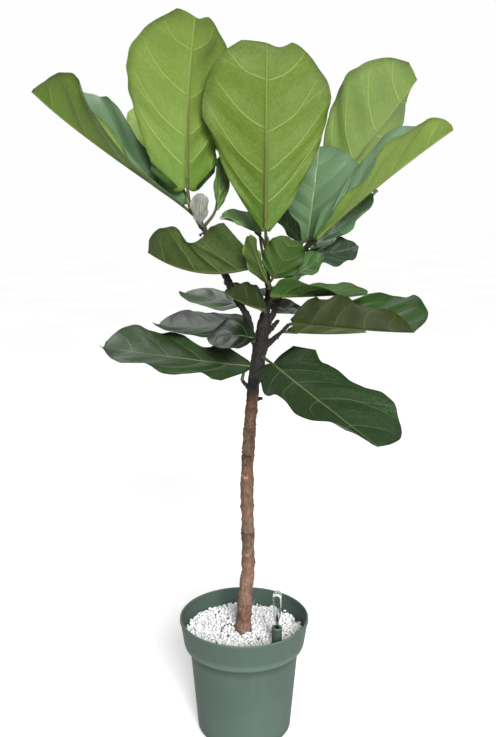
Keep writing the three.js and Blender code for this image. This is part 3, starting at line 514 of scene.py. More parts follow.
def sheath_material():
    s = Shader("papery_sheath")
    along, across, _ = s.parts(s.attribute("spot", "Vector"))
    threads = s.noise(900, 3, 0.6, s.node("CombineXYZ", {0: s.times(along, 0.12), 1: across}))
    tone = s.blend(s.ramp(threads, 0.3, 0.7), rgb(148, 152, 142), rgb(102, 106, 92))
    tone = s.blend(s.ramp(s.noise(90), 0.45, 0.7, 0, 0.6), tone, rgb(98, 88, 66))
    return s.finish(Base_Color=tone, Roughness=0.8, Normal=s.bump(threads, 0.0006, 0.8))


def bark_material():
    """tone is the bark's colour here, groove is 1 in a scar or crack."""
    s = Shader("fig_bark")
    fibres = s.drawn_out(0.35)
    flakes = s.noise(320, 5, 0.65, fibres)
    patch = s.noise(130, 3, 0.6, fibres)
    dots = s.ramp(s.cells(230), 0.12, 0.3, 1, 0)
    tone = s.attribute("tone", "Color")
    for share, factors in (
        (s.ramp(flakes, 0.42, 0.62, 0, 0.7), (0.46, 0.38, 0.33)),
        (s.ramp(patch, 0.52, 0.7, 0, 0.6), (0.5, 0.44, 0.4)),
        (s.ramp(patch, 0.46, 0.32, 0, 0.7), (1.6, 1.5, 1.36)),
        (s.ramp(s.noise(45, 4, 0.6), 0.5, 0.75, 0, 0.5), (1.5, 1.45, 1.4)),
        (s.times(dots, 0.45), (1.8, 1.66, 1.45)),
    ):
        tone = s.tint(share, tone, factors)
    tone = s.blend(s.times(s.attribute("groove", "Fac"), 0.85), tone, rgb(38, 26, 20))
    height = s.math("ADD", s.math("MULTIPLY_ADD", patch, 1.2, flakes), s.times(dots, 0.35))
    return s.finish(Base_Color=tone, Roughness=s.ramp(flakes, 0.3, 0.7, 0.72, 0.9),
                    Normal=s.bump(height, 0.0015, 0.9))


def pot_material():
    """Matt plastic: darker at the foot, with painted shade in the step under the collar and a painted
    highlight on the collar's edges.
    """
    s = Shader("sage_plastic")
    height = s.parts(s.place())[2]
    cloud = s.noise(7, 4, 0.5)
    drawn = s.noise(60, 3, 0.5, s.drawn_out(0.08))
    # step marks painted shade in the step under the collar; brow and lip mark a painted highlight on the
    # collar's lower edge and on the lip.
    step = s.times(s.ramp(height, 0.134, 0.148), s.ramp(height, 0.1535, 0.156, 1, 0))
    brow = s.times(s.ramp(height, 0.156, 0.158), s.ramp(height, 0.16, 0.17, 1, 0))
    lip = s.ramp(height, 0.2032, 0.2046)
    tone = s.blend(s.ramp(cloud, 0.35, 0.7), rgb(67, 83, 75), rgb(74, 90, 82))
    for share, colour in (
        (s.ramp(drawn, 0.45, 0.75, 0, 0.25), rgb(82, 94, 87)),
        (s.ramp(height, 0, 0.022, 0.35, 0), rgb(50, 60, 55)),
        # painted shade in the step under the collar
        (s.times(step, 0.45), rgb(34, 46, 40)),
        # painted highlight on the collar's lower edge and on the lip
        (s.math("MAXIMUM", s.times(brow, 0.2), s.times(lip, 0.45)), rgb(120, 134, 124)),
    ):
        tone = s.blend(share, tone, colour)
    grain = s.math("MULTIPLY_ADD", drawn, 0.6, s.noise(1500, 2, 0.5))
    return s.finish(Base_Color=tone, Roughness=s.math("MULTIPLY_ADD", cloud, 0.16, 0.5),
                    Specular_IOR_Level=0.14, Normal=s.bump(grain, 0.00018, 0.6))


def stone_material():
    """shade is each stone's own number, from 0 for white to 1 for dark."""
    s = Shader("white_chips")
    dust = s.noise(420, 4, 0.6)
    tone = s.blend(s.ramp(s.attribute("shade", "Fac"), 0, 1), rgb(240, 240, 241), rgb(92, 82, 74))
    tone = s.tint(s.ramp(dust, 0.4, 0.75, 0, 0.35), tone, (0.8, 0.79, 0.76))
    tone = s.blend(s.ramp(s.noise(120, 3, 0.5), 0.6, 0.75, 0, 0.3), tone, rgb(205, 198, 184))
    return s.finish(Base_Color=tone, Roughness=0.82, Normal=s.bump(dust, 0.0007, 0.9))


def earth_material():
    s = Shader("growing_medium")
    crumbs = s.cells(170)
    fine = s.noise(380, 4, 0.65)
    tone = s.blend(s.ramp(crumbs, 0, 0.7), rgb(104, 78, 58), rgb(44, 32, 24))
    tone = s.blend(s.ramp(fine, 0.5, 0.7, 0, 0.5), tone, rgb(148, 120, 92))
    return s.finish(Base_Color=tone, Roughness=0.95, Normal=s.bump(s.math("ADD", crumbs, fine), 0.002, 0.9))


def hazy_material(name, scale, detail, tones, grain=None, **sockets):
    """A plain material that drifts between two tones. grain is a bump's distance and strength."""
    s = Shader(name)
    haze = s.noise(scale, detail)
    if grain:
        sockets["Normal"] = s.bump(haze, *grain)
    return s.finish(Base_Color=s.blend(s.ramp(haze, 0.3, 0.7), *tones), **sockets)


# ---- leaves ----
outlines = {name: curve_through(np.transpose(shape) / 100) for name, shape in OUTLINES.items()}


def leaf_of(row):
    leaf = {"veins": 0.55, "ears": 0, **dict(zip(FIELDS, row))}
    if isinstance(leaf["tip"], int):
        leaf["tip"] = [[0, -leaf["tip"], round(leaf["size"][1] * 0.13)]]
    return leaf


def is_small(leaf):
    return leaf["size"][0] < SMALL_UNDER


def ways_at(leaf, s):
    """The ways to the side, up and ahead at shares of the midrib."""
    rise, roll = np.radians(mix(*leaf["rise"], s)), np.radians(mix(*leaf["roll"], s))[:, None]
    turn = np.radians(leaf["aim"][0] + leaf["aim"][1] * s)
    ahead = np.stack([np.cos(rise) * np.cos(turn), np.cos(rise) * np.sin(turn), np.sin(rise)], -1)
    level = np.stack([-np.sin(turn), np.cos(turn), 0 * s], -1)
    top = np.cross(ahead, level)
    return level * np.cos(roll) + top * np.sin(roll), top * np.cos(roll) - level * np.sin(roll), ahead


def midrib_frames(leaf):
    """Places, sides, ups and ways ahead along the midrib, at even shares of its length."""
    s = np.linspace(0, 1, STEPS + 1)
    moves = ways_at(leaf, s[:-1] + 0.5 / STEPS)[2] * leaf["size"][0] / STEPS
    place = np.array(leaf["at"], float) + np.concatenate([np.zeros((1, 3)), np.cumsum(moves, 0)])
    return place, *ways_at(leaf, s)


def frame_at(frames, s):
    x = np.clip(s, 0, 1) * STEPS
    i = np.minimum(x.astype(int), STEPS - 1)
    f = (x - i)[..., None]
    return [mix(run[i], run[i + 1], f) for run in frames]


def vein_starts(leaf):
    return SMALL_VEINS if is_small(leaf) else LARGE_VEINS


def leaf_rows(leaf):
    """Shares along the midrib where rows start: even at the midrib, even at the margin, close at veins."""
    even = np.linspace(0, 1, 24 if is_small(leaf) else 40)
    rows = [*even, *(even ** (1 / SLANT))]
    for vein in vein_starts(leaf):
        rows.extend(vein + d / leaf["size"][0] for d in (-2.6, -1.3, 0, 1.3, 2.6))
    kept = [0]
    for r in np.unique(np.clip(rows, 0, 1))[1:]:
        if r - kept[-1] > 0.35 * min(0.01, 0.3 * r ** (1 - SLANT) + 0.0005) or r == 1:
            kept.append(r)
    return np.array(kept)


def vein_phase(leaf, r):
    """1, 2, 3 ... on the side veins, with the part between them shared evenly."""
    starts = vein_starts(leaf)
    return np.interp(r, [0, *starts, 1], [0.35, *range(1, len(starts) + 1), len(starts) + 0.6])


def row_bend(leaf, r, t, hand):
    """How far a side vein's row has bent towards the tip there: it leaves the midrib straight, arches
    in its outer half, and wavers a little, each in its own way on the two halves."""
    phase = leaf["wave"][2]
    arch = 0.14 * np.maximum(0, (t - 0.42) / 0.58) ** 1.4
    waver = 0.012 * np.sin(2 * np.pi * (1.3 * t + 2.1 * r) + phase + 2 * hand) * t
    return 4 * r * (1 - r) * (arch + waver + 0.014 * hand * np.cos(7 * r + phase))


def blade_half(leaf, frames, r, hand):
    """The middle surface of one half (hand 1 is left, -1 right) as [row, column, xyz], with each point's
    share along the leaf, its millimetres from the midrib, and the share where its row starts."""
    width = leaf["size"][1]
    half = width / 2
    names = leaf["outline"]
    outline = outlines[names if isinstance(names, str) else names[0 if hand > 0 else 1]]
    fold_foot, fold_tip, curl_foot, curl_tip = [*leaf["left" if hand > 0 else "right"], 0, 0][:4]
    height, count, start = leaf["wave"]

    r, t = np.meshgrid(r, COLUMNS, indexing="ij")
    r = r + row_bend(leaf, r, t, hand)
    margin = r ** SLANT
    s = mix(r, margin, t ** 1.2)
    phase = np.radians(start + 70 * hand)
    uneven = sum(size * np.sin(often * margin + shift * phase)
                 for size, often, shift in ((1, 19, 1), (0.7, 31, -2), (0.5, 53, 3)))
    out = t * outline(margin) * half * (1 + 0.011 * uneven * t ** 3)
    fold = np.radians(mix(fold_foot, fold_tip, s))
    curl = np.radians(mix(curl_foot, curl_tip, s)) / half
    curl = np.where(np.abs(curl) < 1e-9, 1e-6, curl)
    angle = fold + curl * out
    sideways = (np.sin(angle) - np.sin(fold)) / curl
    above = (np.cos(fold) - np.cos(angle)) / curl
    if leaf["ears"]:  # the foot's wide rim is folded over towards the underside
        foot = 1 - smooth(0.07, 0.18, s)
        out = out * (1 + 0.45 * foot)
        angle = fold + curl * out - np.radians(leaf["ears"]) * smooth(0.6, 0.78, t) * foot
        step = np.diff(out, axis=1, prepend=0)
        halfway = (angle + np.concatenate([fold[:, :1], angle[:, :-1]], axis=1)) / 2
        sideways = np.cumsum(np.cos(halfway) * step, axis=1)
        above = np.cumsum(np.sin(halfway) * step, axis=1)

    turn = 2 * np.pi * count * margin + np.radians(start + (0 if hand > 0 else 140))
    wave = t ** 3 * np.sin(turn) + 0.12 * t ** 6 * np.sin(2.9 * turn + 1.3)
    swell = np.sin(np.pi * np.minimum(1, t * 1.08)).clip(0, 1) ** 0.8
    quilt = curve_through(SMALL_ROWS if is_small(leaf) else LARGE_ROWS)(r) * QUILTING * swell
    lift = wave * height * np.minimum(1, margin * 6) - quilt * min(1, leaf["veins"] / PLAIN_VEINS) ** 2
    sideways = sideways - np.sin(angle) * lift
    above = above + np.cos(angle) * lift
    place, side, up, ahead = frame_at(frames, s)
    points = place + side * (hand * sideways)[..., None] + up * above[..., None]
    forward = sum(reach * near(hand * out - across, wide) for across, reach, wide in leaf["tip"])
    drawn_back = 0.035 * width * (1 - smooth(0, 0.1, s)) * np.sin(np.pi * t ** 0.9) * (1 - t ** 3)
    return points + ahead * (forward * smooth(0.72, 1, s) - drawn_back)[..., None], s, hand * out, r


def blade_grid(leaf, frames):
    """The whole middle surface from left margin to right margin, with the numbers that the veins need."""
    r = leaf_rows(leaf)
    points, along, across, row = (
        np.concatenate([left[:, ::-1], right[:, 1:]], axis=1)
        for left, right in zip(blade_half(leaf, frames, r, 1), blade_half(leaf, frames, r, -1)))
    share = np.array([*COLUMNS[::-1], *COLUMNS[1:]]) + 0 * along
    down, sideways = np.gradient(points, axis=0), np.gradient(points, axis=1)
    normals = unit(np.cross(sideways, down))
    sideways = unit(sideways)
    square = np.linalg.norm(down - sideways * (down * sideways).sum(-1, keepdims=True), axis=-1)
    numbers = []
    for phase in (vein_phase(leaf, r)[:, None] + 0 * along, vein_phase(leaf, row)):
        numbers.extend([phase, square / np.maximum(np.abs(np.gradient(phase, axis=0)), 1e-6)])
    return points, normals, along, across, share, *numbers


def stalk(leaf, frames):
    """The stalk's vertices and faces, from inside its branch to the underside of the blade's foot."""
    branch, share = leaf["from"]
    start = along_points(BRANCHES[branch][1], share)[0][:3]
    reach = min(14, leaf["size"][0] * 0.12)
    place, _, up, ahead = frame_at(frames, np.array([reach / leaf["size"][0]]))
    end = place[0] - up[0] * 1.7
    stretch = np.linalg.norm(end - start)
    bend = end - ahead[0] * stretch * 0.45
    leave = mix(start, end, 0.25) + np.array([0, 0, stretch * 0.03])
    t = np.linspace(0, 1, 16)[:, None]
    curve = (1 - t) ** 3 * start + 3 * t * (1 - t) ** 2 * leave + 3 * t * t * (1 - t) * bend + t ** 3 * end
    return tube(curve, mix(STALK_RADIUS + 0.4, STALK_RADIUS - 0.6, t[:, 0]), 12)


def leaf_tones(leaf, along, share):
    """The blade's colours above and below per vertex, and its veins' colours above and below."""
    top, under = (linear(TONES[key]) for key in leaf["tones"])
    strength, white = leaf["veins"], np.ones(3)
    low = ((1 - smooth(0.02, 0.5, along)) * 0.75)[:, None]
    # The margin and the tip are darkened on both faces as painted shade of the curled-back edge; on the
    # PALE_RIMS leaves the lower face is made paler there instead.
    rim = np.maximum(smooth(0.82, 1, share) ** 1.5, 0.6 * smooth(0.88, 1, along))[:, None]
    rim_tone = [1.9, 1.8, 2.2] if leaf["name"] in PALE_RIMS else [0.6, 0.62, 0.5]
    upper = top * mix(white, [0.66, 0.8, 0.6], low) * mix(1, 0.8, rim)
    lower = under * mix(white, [0.6, 0.82, 0.5], low) * mix(white, rim_tone, rim)
    line_top = mix(top, linear((138, 154, 100)), strength) + np.zeros((len(along), 3))
    middle = 1 - smooth(0.02, 0.1, share)
    brown = (0.8 * (1 - smooth(0.35, 0.95, along)) * middle * min(1, strength / PLAIN_VEINS))[:, None]
    faint = (0.55 * smooth(0.5, 0.8, along) * middle)[:, None]
    line_under = mix(mix(under, linear((158, 174, 96)), strength), under, faint)
    return upper, lower, line_top, mix(line_under, linear((68, 64, 28)), brown)


def leaf_piece(leaf, material):
    frames = midrib_frames(leaf)
    points, normals, along, across, share, phase, spacing, fork, fork_spacing = blade_grid(leaf, frames)
    rows, columns = along.shape
    count = rows * columns
    small, has_veins = is_small(leaf), leaf["veins"] > 0
    rib_half = mix(2.3, 0.7, along) * (0.6 if small else 1)
    rib = mix(RIB_DEPTH, 0.5, along) * (0.7 if small else 1)
    thick = mix(THICK_MIDDLE, THICK_MARGIN, share ** 3)
    gap = np.abs(phase - np.round(phase)) * spacing
    vein = near(gap, 1.4) * (1 - smooth(0.72, 1, share)) * has_veins
    sunk = np.maximum(0.35 * vein, 0.6 * near(across, 0.6 * rib_half))
    proud = np.maximum(0.65 * vein * (1 - 0.5 * share), rib * near(across, rib_half))
    top = points + normals * (thick / 2 - sunk)[..., None]
    bottom = points - normals * (thick / 2 + proud)[..., None]
    quads = grid_faces(rows, columns)
    rim = [*range(columns), *range(2 * columns - 1, count, columns),
           *range(count - 2, count - columns - 1, -1), *range(count - 2 * columns, 0, -columns)]
    sides = [[b, a, a + count, b + count] for a, b in zip(rim, [*rim[1:], rim[0]])]
    blade = (np.concatenate([top.reshape(-1, 3), bottom.reshape(-1, 3)]),
             [*quads.tolist(), *(quads[:, ::-1] + count).tolist(), *sides])
    vertices, faces = joined([blade, stalk(leaf, frames)])

    ends = len(vertices) - 2 * count
    stalk_tone = np.tile(mix(linear((78, 82, 42)), linear((60, 48, 34)), 0.35), (ends, 1))
    upper, lower, line_top, line_under = leaf_tones(leaf, along.ravel(), share.ravel())
    numbers = {
        "tone": np.concatenate([upper, lower, stalk_tone]),
        "line": np.concatenate([line_top, line_under, stalk_tone * 1.3]),
        "under": np.concatenate([np.zeros(count), np.ones(count + ends)]),
    }
    for key, values, on_stalk in (
        ("nerve", (phase, spacing, share), [0.5, 20, 0.5]),
        ("fork", (fork, fork_spacing, 0 * share), [0.5, 20, 0]),
        ("spot", (along * leaf["size"][0] * MM, across * MM, rib_half * MM), [0.1, 0.05, 0.001]),
    ):
        face = np.stack(values, -1).reshape(-1, 3)
        numbers[key] = np.concatenate([face, face, np.tile(on_stalk, (ends, 1))])
    return mesh_object(leaf["name"] + "_blade", vertices, faces, material, numbers)


# ---- stem and shoots ----
def rings_of(branch):
    """How many rings the branch has, and its length."""
    spacing, points = branch
    length = np.linalg.norm(np.diff(np.array(points, float)[:, :3], axis=0), axis=1).sum()
    return max(2, round(length / spacing)), length


def branch_tube(branch):
    """The branch with its swellings, finely stepped, starting a little inside what it grows from."""
    rings, length = rings_of(branch)
    t = np.linspace(0, 1, max(12, int(length / 2.2)))
    run = along_points(branch[1], t)
    swell = 1.015 - 0.045 * np.cos(2 * np.pi * t * rings)
    end = 1 - 0.75 * smooth(1 - 2.5 / length, 1, t)
    return tube(run[:, :3], run[:, 3] * swell * end, 28)


def nearest_on_branches(places):
    """For each place: which branch is nearest for its radius, and how far along it."""
    best = np.full(len(places), 1e9)
    which, share = np.zeros(len(places), int), np.zeros(len(places))
    for i, branch in enumerate(BRANCHES.values()):
        for t in np.linspace(0, 1, 140):
            run = along_points(branch[1], t)[0]
            away = np.linalg.norm(places - run[:3], axis=1) / run[3]
            closer = away < best
            best[closer], which[closer], share[closer] = away[closer], i, t
    return which, share


def wood_piece(material):
    """All branches fused into one skin by a fine remesh, with bark relief pushed into it."""
    piece = mesh_object("stem_bark", *joined(map(branch_tube, BRANCHES.values())), material)
    fuse = piece.modifiers.new("fuse", "REMESH")
    fuse.mode = "VOXEL"
    fuse.voxel_size = 1.15 * MM
    fuse.use_smooth_shade = True
    piece.modifiers.new("soften", "SMOOTH").iterations = 4
    fused = bpy.data.meshes.new_from_object(piece.evaluated_get(bpy.context.evaluated_depsgraph_get()))
    piece.modifiers.clear()
    piece.data = fused

    def read(field):
        numbers = np.zeros(3 * len(fused.vertices), np.float32)
        fused.vertices.foreach_get(field, numbers)
        return numbers.reshape(-1, 3).astype(float)

    spots = read("co") / MM
    relief, groove, tone = bark(spots)
    spots += read("normal") * relief[:, None]
    fused.vertices.foreach_set("co", (spots * MM).astype(np.float32).ravel())
    add_numbers(fused, {"groove": groove, "tone": tone})
    give(fused, material)
    fused.update()
    return piece


def bark(spots):
    """How far the bark stands out at each place, how deep in a groove it lies, and its colour."""
    which, share = nearest_on_branches(spots)
    height = spots[:, 2]
    is_stem = which == 0
    angle = np.arctan2(spots[:, 1], spots[:, 0] - np.interp(height, STEM_Z, STEM_X))
    wobble = 1.2 * np.sin(angle * 2 + 0.8) + 0.7 * np.sin(angle * 5 + 2)
    relief = 0.42 * waves(spots, 9, 5) + 0.3 * waves(spots, 4.5, 8, 1)
    relief += 0.5 * waves(spots * [1, 1, 0.3], 14, 6, 2)
    groove, moss, soot, fleck = np.zeros((4, len(spots)))
    for i, (level, dark, peel) in enumerate(CRACKS):
        away = height - level - wobble
        depth = near(away, 1.7) * smooth(-0.9, 0.4, np.sin(angle + np.pi + 0.5 * i) + 0.35) * is_stem * dark
        relief += 0.45 * near(np.abs(away) - 2.6, 1.4) * is_stem - 1.5 * depth
        groove = np.maximum(groove, depth)
        moss += smooth(0, 5, away) * (1 - smooth(12, 34, away)) * dark * is_stem
        soot += smooth(-24, -2, away) * (1 - smooth(-2, 1, away)) * dark * is_stem
        fleck += near(away - 1, 1.8) * peel * smooth(0.5, 0.95, np.sin(angle + np.pi + 0.7)) * is_stem
    for i, (name, branch) in enumerate(BRANCHES.items()):
        rings, length = rings_of(branch)
        rings *= 2 if name == "stem" else 3
        along = share * rings
        away = np.abs(along - np.round(along)) * length / rings
        beside = near(away - 1.9, 0.8) * (which == i)
        ring = near(away, 0.9) * (which == i)
        relief += ring * mix(0.3, 0.5, smooth(DARK_ABOVE, 700, height)) - 0.25 * beside
        groove = np.maximum(groove, 0.28 * beside)
    for *place, radius in LEAF_SCARS:
        away = np.linalg.norm((spots - place) / [1, 1, 0.7], axis=1)
        relief += 1.7 * near(away - radius, 1.3) - 0.8 * near(away, 0.6 * radius)
        groove = np.maximum(groove, 0.5 * near(away, 0.55 * radius))

    russet = 0.32 * smooth(0.1, 0.7, waves(spots * [1, 1, 0.4], 22, 11, 2))
    rough = 0.6 + 0.4 * waves(spots, 7, 12, 2)
    tone = linear((124, 98, 84))
    for amount, colour in (
        (smooth(240, 330, height), (105, 81, 63)),
        (russet, (136, 84, 64)),
        (0.55 * moss * rough, (92, 92, 72)),
        (0.7 * soot * rough, (52, 40, 34)),
        (0.6 * fleck, (196, 168, 140)),
        (smooth(DARK_ABOVE - 14, DARK_ABOVE + 22, height + 6 * wobble), (21, 15, 13)),
        (smooth(820, 880, height) * (which > 0), (70, 68, 40)),
    ):
        tone = mix(tone, linear(colour), np.clip(amount, 0, 1)[:, None])
    return relief, groove.clip(0, 1), tone


def bark_bits(name, bits, material):
    """Pairs of a tube and its sRGB tone as one piece."""
    vertices, faces = joined(bit for bit, _ in bits)
    tone = np.concatenate([np.tile(linear(tone), (len(places), 1)) for (places, _), tone in bits])
    return mesh_object(name, vertices, faces, material, {"tone": tone, "groove": np.zeros(len(vertices))})


def root_piece(material):
    """A thin dry root that lies on the gravel beside the stem."""
    run = along_points(DRY_ROOT, np.linspace(0, 1, 30))
    return bark_bits("dry_root", [(tube(run[:, :3], run[:, 3], 10), (86, 66, 52))], material)


def bud_pieces(material):
    """The pointed bud at the tip of each shoot, and withered ones on the left shoot."""
    t = np.linspace(0, 1, 12)
    buds = []
    for start, way, length, radius, tone in BUDS:
        places = np.array(start, float) + unit(np.array(way, float)) * (t * length)[:, None]
        places[:, 0] += 1.2 * np.sin(t * 2.6)
        radii = radius * (1 - t) ** 0.7 * (1 + 0.5 * np.sin(np.pi * t)) + 0.12
        buds.append((tube(places, radii, 14), tone))
    return bark_bits("shoot_buds", buds, material)


# ---- pot and what fills it ----
def pot_piece(material):
    """The pot as moulded: round foot, tapering body, a stepped collar with a soft lower edge, a thin lip."""
    top, rim, collar, collar_bottom, neck, neck_height, foot, edge, wall, floor = POT.values()
    flat = foot - edge
    arc = [[flat + edge * math.sin(a), edge - edge * math.cos(a)] for a in np.linspace(0, math.pi / 2, 9)]
    body = rounded([
        arc[-1], [neck, neck_height], [neck + 1.2, neck_height + 6.5], [collar - 1.4, collar_bottom - 1.2],
        [collar + 0.6, collar_bottom + 4], [rim - 1.2, top - 7], [rim, top - 6], [rim, top - 1.4],
        [rim - 1.4, top], [rim - wall - 0.2, top], [rim - wall - 0.6, top - 2.5]], 1.8, 5)
    inside = rounded([
        [rim - wall - 0.7, top - 4], [collar - wall, collar_bottom + 2], [neck - wall, neck_height],
        [foot - wall, edge + 4], [foot - wall - 6, floor], [0, floor]], 3, 5)
    return turned("moulded_pot", [[0, 0], [flat - 4, 0], *arc[:-1], *body, *inside], 144, material)


def heap(x, y):
    """How much higher the gravel lies there."""
    return 5 * np.exp(-((x + 15) ** 2 + (y - 20) ** 2) / 3600)


def stone_shape(random):
    """A convex angular chip about 1 across, as vertices and faces."""
    chip = bmesh.new()
    for p in unit(random.normal(size=(13, 3))) * random.uniform(0.78, 1.08, (13, 1)) * [1, 0.86, 0.74]:
        chip.verts.new(p / 2)
    made = bmesh.ops.convex_hull(chip, input=chip.verts)
    loose = [v for v in made["geom_interior"] if isinstance(v, bmesh.types.BMVert)]
    bmesh.ops.delete(chip, geom=loose, context="VERTS")
    bmesh.ops.bevel(chip, geom=list(chip.edges), offset=0.045, segments=1, affect="EDGES")
    chip.verts.ensure_lookup_table()
    chip.verts.index_update()
    shape = np.array([v.co[:] for v in chip.verts]), [[v.index for v in f.verts] for f in chip.faces]
    chip.free()
    return shape


def stone_places(random):
    """Where stones lie: rings of a jittered lattice in two layers, clear of the stem and the gauge."""
    places = []
    low, high = POT["collar_bottom"], POT["height"]
    for layer, spacing in ((0, 6.4), (1, 6.6)):
        for i in range(-20, 21):
            for j in range(-20, 21):
                x = (i + 0.5 * (j % 2) + 0.37 * layer) * spacing + random.uniform(-1.5, 1.5)
                y = (j * 0.866 + 0.5 * layer) * spacing + random.uniform(-1.5, 1.5)
                z = GRAVEL_TOP + heap(x, y) + 0.2 + 3.4 * layer + random.uniform(-1.2, 1.3)
                wall = mix(POT["collar"], POT["rim"], (z - low) / (high - low)) - POT["wall"]
                from_gauge = math.hypot(x - GAUGE["x"], y - GAUGE["y"]) - GAUGE["radius"]
                is_clear = math.hypot(x + 2, y) > CHIPS["from_stem"] and from_gauge > CHIPS["from_gauge"]
                if math.hypot(x, y) < wall - 3.4 and is_clear:
                    if layer == 0 or random.random() < 0.8:
                        places.append([x, y, z])
    return places


def gravel_piece(material):
    random = np.random.default_rng(7)
    shapes = [stone_shape(random) for _ in range(CHIPS["shapes"])]
    parts, shades = [], []
    for place in stone_places(random):
        shape, faces = shapes[random.integers(len(shapes))]
        size = random.uniform(*CHIPS["sizes"])
        turn = np.array(Euler(random.uniform(-3.2, 3.2, 3)).to_matrix())
        parts.append((shape @ turn.T * size * random.uniform(0.9, 1.1, 3) + place, faces))
        shades.append(1.0 if random.random() < CHIPS["share_dark"] else random.uniform(0, 0.22))
    parts.append(gravel_bed())
    shades.append(0.3)
    shade = np.repeat(shades, [len(vertices) for vertices, _ in parts])
    return mesh_object("gravel_chips", *joined(parts), material, {"shade": shade}, is_smooth=False)


def gravel_bed():
    """A closed disc under the loose stones, so that no gap shows what is below."""
    rings, sides = 22, 72
    angle = 2 * np.pi * np.arange(sides) / sides
    share, turn = np.meshgrid(np.arange(rings) / (rings - 1), angle, indexing="ij")
    radius = mix(GRAVEL_HOLE, GRAVEL_RADIUS, share)
    x, y = radius * np.cos(turn) - 2 * (1 - share), radius * np.sin(turn)
    levels = GRAVEL_TOP - 2.5 + heap(x, y), GRAVEL_TOP - 9 + 0 * x
    count = rings * sides
    last = count - sides
    quads = grid_faces(rings, sides, closed=True)
    walls = []
    for k in range(sides):
        n = (k + 1) % sides
        walls.extend([[k, n, n + count, k + count], [last + n, last + k, last + k + count, last + n + count]])
    vertices = np.concatenate([np.stack([x, y, z], -1).reshape(-1, 3) for z in levels])
    return vertices, [*quads[:, ::-1].tolist(), *(quads + count).tolist(), *walls]


# ---- water gauge ----
def add_gauge(green):
    """The sleeve, the clear window in its mouth and the rod that shows in the window."""
    x, y, radius, bore, bottom, top = GAUGE.values()
    low = bottom - top
    sleeve = rounded([
        [bore, low], [radius, low], [radius, -7], [radius + 0.6, -6], [radius + 0.6, -0.4], [radius - 0.2, 0],
        [bore + 0.2, 0], [bore, -1], [bore, low]], 0.5, 4)
    outer = rounded([
        [bore - 0.3, -36], [bore - 0.3, -16], [2.9, -12], [2.9, 7], [4.2, 12], [6.2, 22], [7.3, 36],
        [7.3, 56], [6.4, 61.5], [3.6, 63.8], [0, 64]], 2, 6)
    inner = rounded([
        [0, 60], [4, 59], [5.7, 54], [5.7, 36], [4.6, 22], [2.2, 10], [1.9, 6], [1.9, -36]], 2, 6)
    rod = rounded([
        [0, low], [bore - 1, low], [bore - 1, low + 50], [1.15, low + 54], [1.15, 8], [1.9, 12], [2.3, 17],
        [1.2, 22], [0.6, 25], [0.6, 44], [2.1, 45.5], [2.1, 50], [0.6, 52], [0, 54]], 0.6, 4)
    clear = hazy_material("clear_plastic", 180, 3, (rgb(228, 238, 234), rgb(244, 248, 246)),
                          Roughness=0.02, Transmission_Weight=1, IOR=1.22)
    dark = hazy_material("dark_plastic", 300, 3, (rgb(20, 22, 24), rgb(34, 38, 40)),
                         grain=(0.0001, 0.5), Roughness=0.5)
    for name, profile, sides, material, slot, node in (
        ("gauge_tube", sleeve, 56, green, "pot_plastic", "gauge_sleeve"),
        ("gauge_glass", [*outer, *inner, outer[0]], 56, clear, "clear_plastic", "gauge_window"),
        ("gauge_rod", rod, 32, dark, "dark_plastic", "gauge_float"),
    ):
        settle(turned(name, np.array(profile) + [0, top], sides, material, x, y), slot, node)


# ---- stage ----
PHOTO_HEIGHT = 737  # pixels
PHOTO_FOCAL_LENGTH = 850  # pixels
CAMERA_PLACE = (6.6, -1354, 894)
CAMERA_DOWN = 10.82  # degrees
ROOM_LIGHT = 0.14
BACKDROP = 0.99
FLOOR_REACH = 40000
# Each lamp: its kind, name, place in metres, the height it aims at over the origin, power and settings.
LAMPS = [
    ("SUN", "front_key", (0.5, -2.2, 1.2), 0, 4.7, {"angle": math.radians(26)}),
    ("AREA", "top_soft", (0.2, 0.5, 2.9), 0.8, 8, {"shape": "SQUARE", "size": 1.8}),
    ("AREA", "back_soft", (-0.7, 1.9, 2.6), 0.8, 24, {"shape": "SQUARE", "size": 1.8}),
    ("AREA", "pot_fill", (0.7, -1.5, 0.3), 0.1, 5.5, {"shape": "SQUARE", "size": 0.7}),
]


def add_camera():
    data = bpy.data.cameras.new("camera")
    data.sensor_width = 36
    data.lens = PHOTO_FOCAL_LENGTH * data.sensor_width / PHOTO_HEIGHT
    camera = linked("camera", data)
    camera.location = Vector(CAMERA_PLACE) * MM
    camera.rotation_euler = (math.radians(90 - CAMERA_DOWN), 0, 0)
    bpy.context.scene.camera = camera


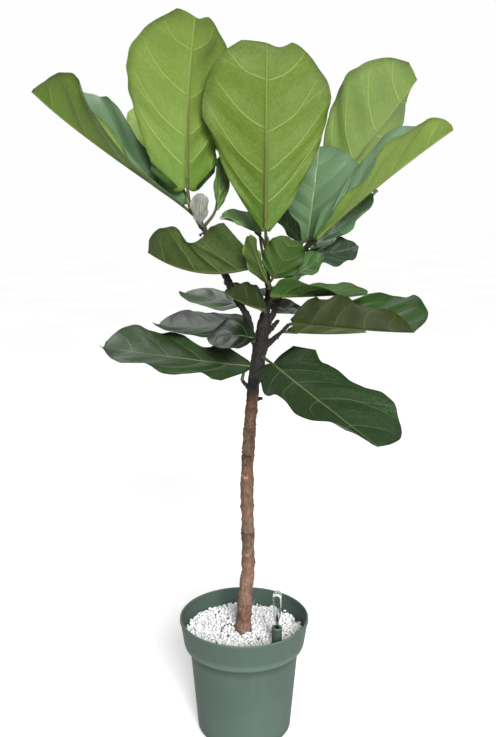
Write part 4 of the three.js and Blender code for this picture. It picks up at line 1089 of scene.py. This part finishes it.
def add_lamp(kind, name, place, aim_height, power, settings):
    data = bpy.data.lights.new(name, kind)
    data.energy = power
    for key, value in settings.items():
        setattr(data, key, value)
    lamp = linked(name, data)
    lamp.location = place
    lamp.rotation_euler = (Vector((0, 0, aim_height)) - lamp.location).to_track_quat("-Z", "Y").to_euler()


def add_world():
    """A soft even room light, in front of a backdrop that only the camera sees, as bright as the floor."""
    world = bpy.data.worlds.new("studio")
    world.use_nodes = True
    nodes, links = world.node_tree.nodes, world.node_tree.links
    room = nodes["Background"]
    backdrop, rays, pick = (
        nodes.new("ShaderNode" + kind) for kind in ("Background", "LightPath", "MixShader"))
    for light, strength in ((room, ROOM_LIGHT), (backdrop, BACKDROP)):
        light.inputs["Color"].default_value = (1, 1, 1, 1)
        light.inputs["Strength"].default_value = strength
    for i, source in enumerate((rays.outputs["Is Camera Ray"], room.outputs[0], backdrop.outputs[0])):
        links.new(source, pick.inputs[i])
    links.new(pick.outputs[0], nodes["World Output"].inputs["Surface"])
    bpy.context.scene.world = world


def add_stage():
    reach = FLOOR_REACH
    corners = [[-reach, -reach, 0], [reach, -reach, 0], [reach, reach, 0], [-reach, reach, 0]]
    pale = hazy_material("pale_floor", 1.2, 2, ((0.93, 0.93, 0.925), (0.97, 0.97, 0.965)), Roughness=0.75,
                         Specular_IOR_Level=0, Emission_Color=(1, 1, 1), Emission_Strength=0.19)
    mesh_object("studio_floor", corners, [[0, 1, 2, 3]], pale)
    add_world()
    bpy.context.scene.view_settings.view_transform = "Standard"
    for lamp in LAMPS:
        add_lamp(*lamp)


# ---- the plant in its pot ----
def main():
    add_camera()
    add_stage()
    green = pot_material()
    wood = bark_material()
    skin = leaf_material()
    paper = sheath_material()
    for leaf in map(leaf_of, LEAVES):
        is_sheath = leaf["name"] == "shoot_sheath"
        piece = leaf_piece(leaf, paper if is_sheath else skin)
        settle(piece, "papery_sheath" if is_sheath else "leaf", leaf["name"])
    settle(wood_piece(wood), "bark", "stem_and_shoots")
    settle(bud_pieces(wood), "bark")
    settle(root_piece(wood), "bark")
    settle(pot_piece(green), "pot_plastic", "pot")
    settle(gravel_piece(stone_material()), "white_gravel", "white_gravel")
    add_gauge(green)
    give(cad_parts["growing_medium"].data, earth_material())


main()
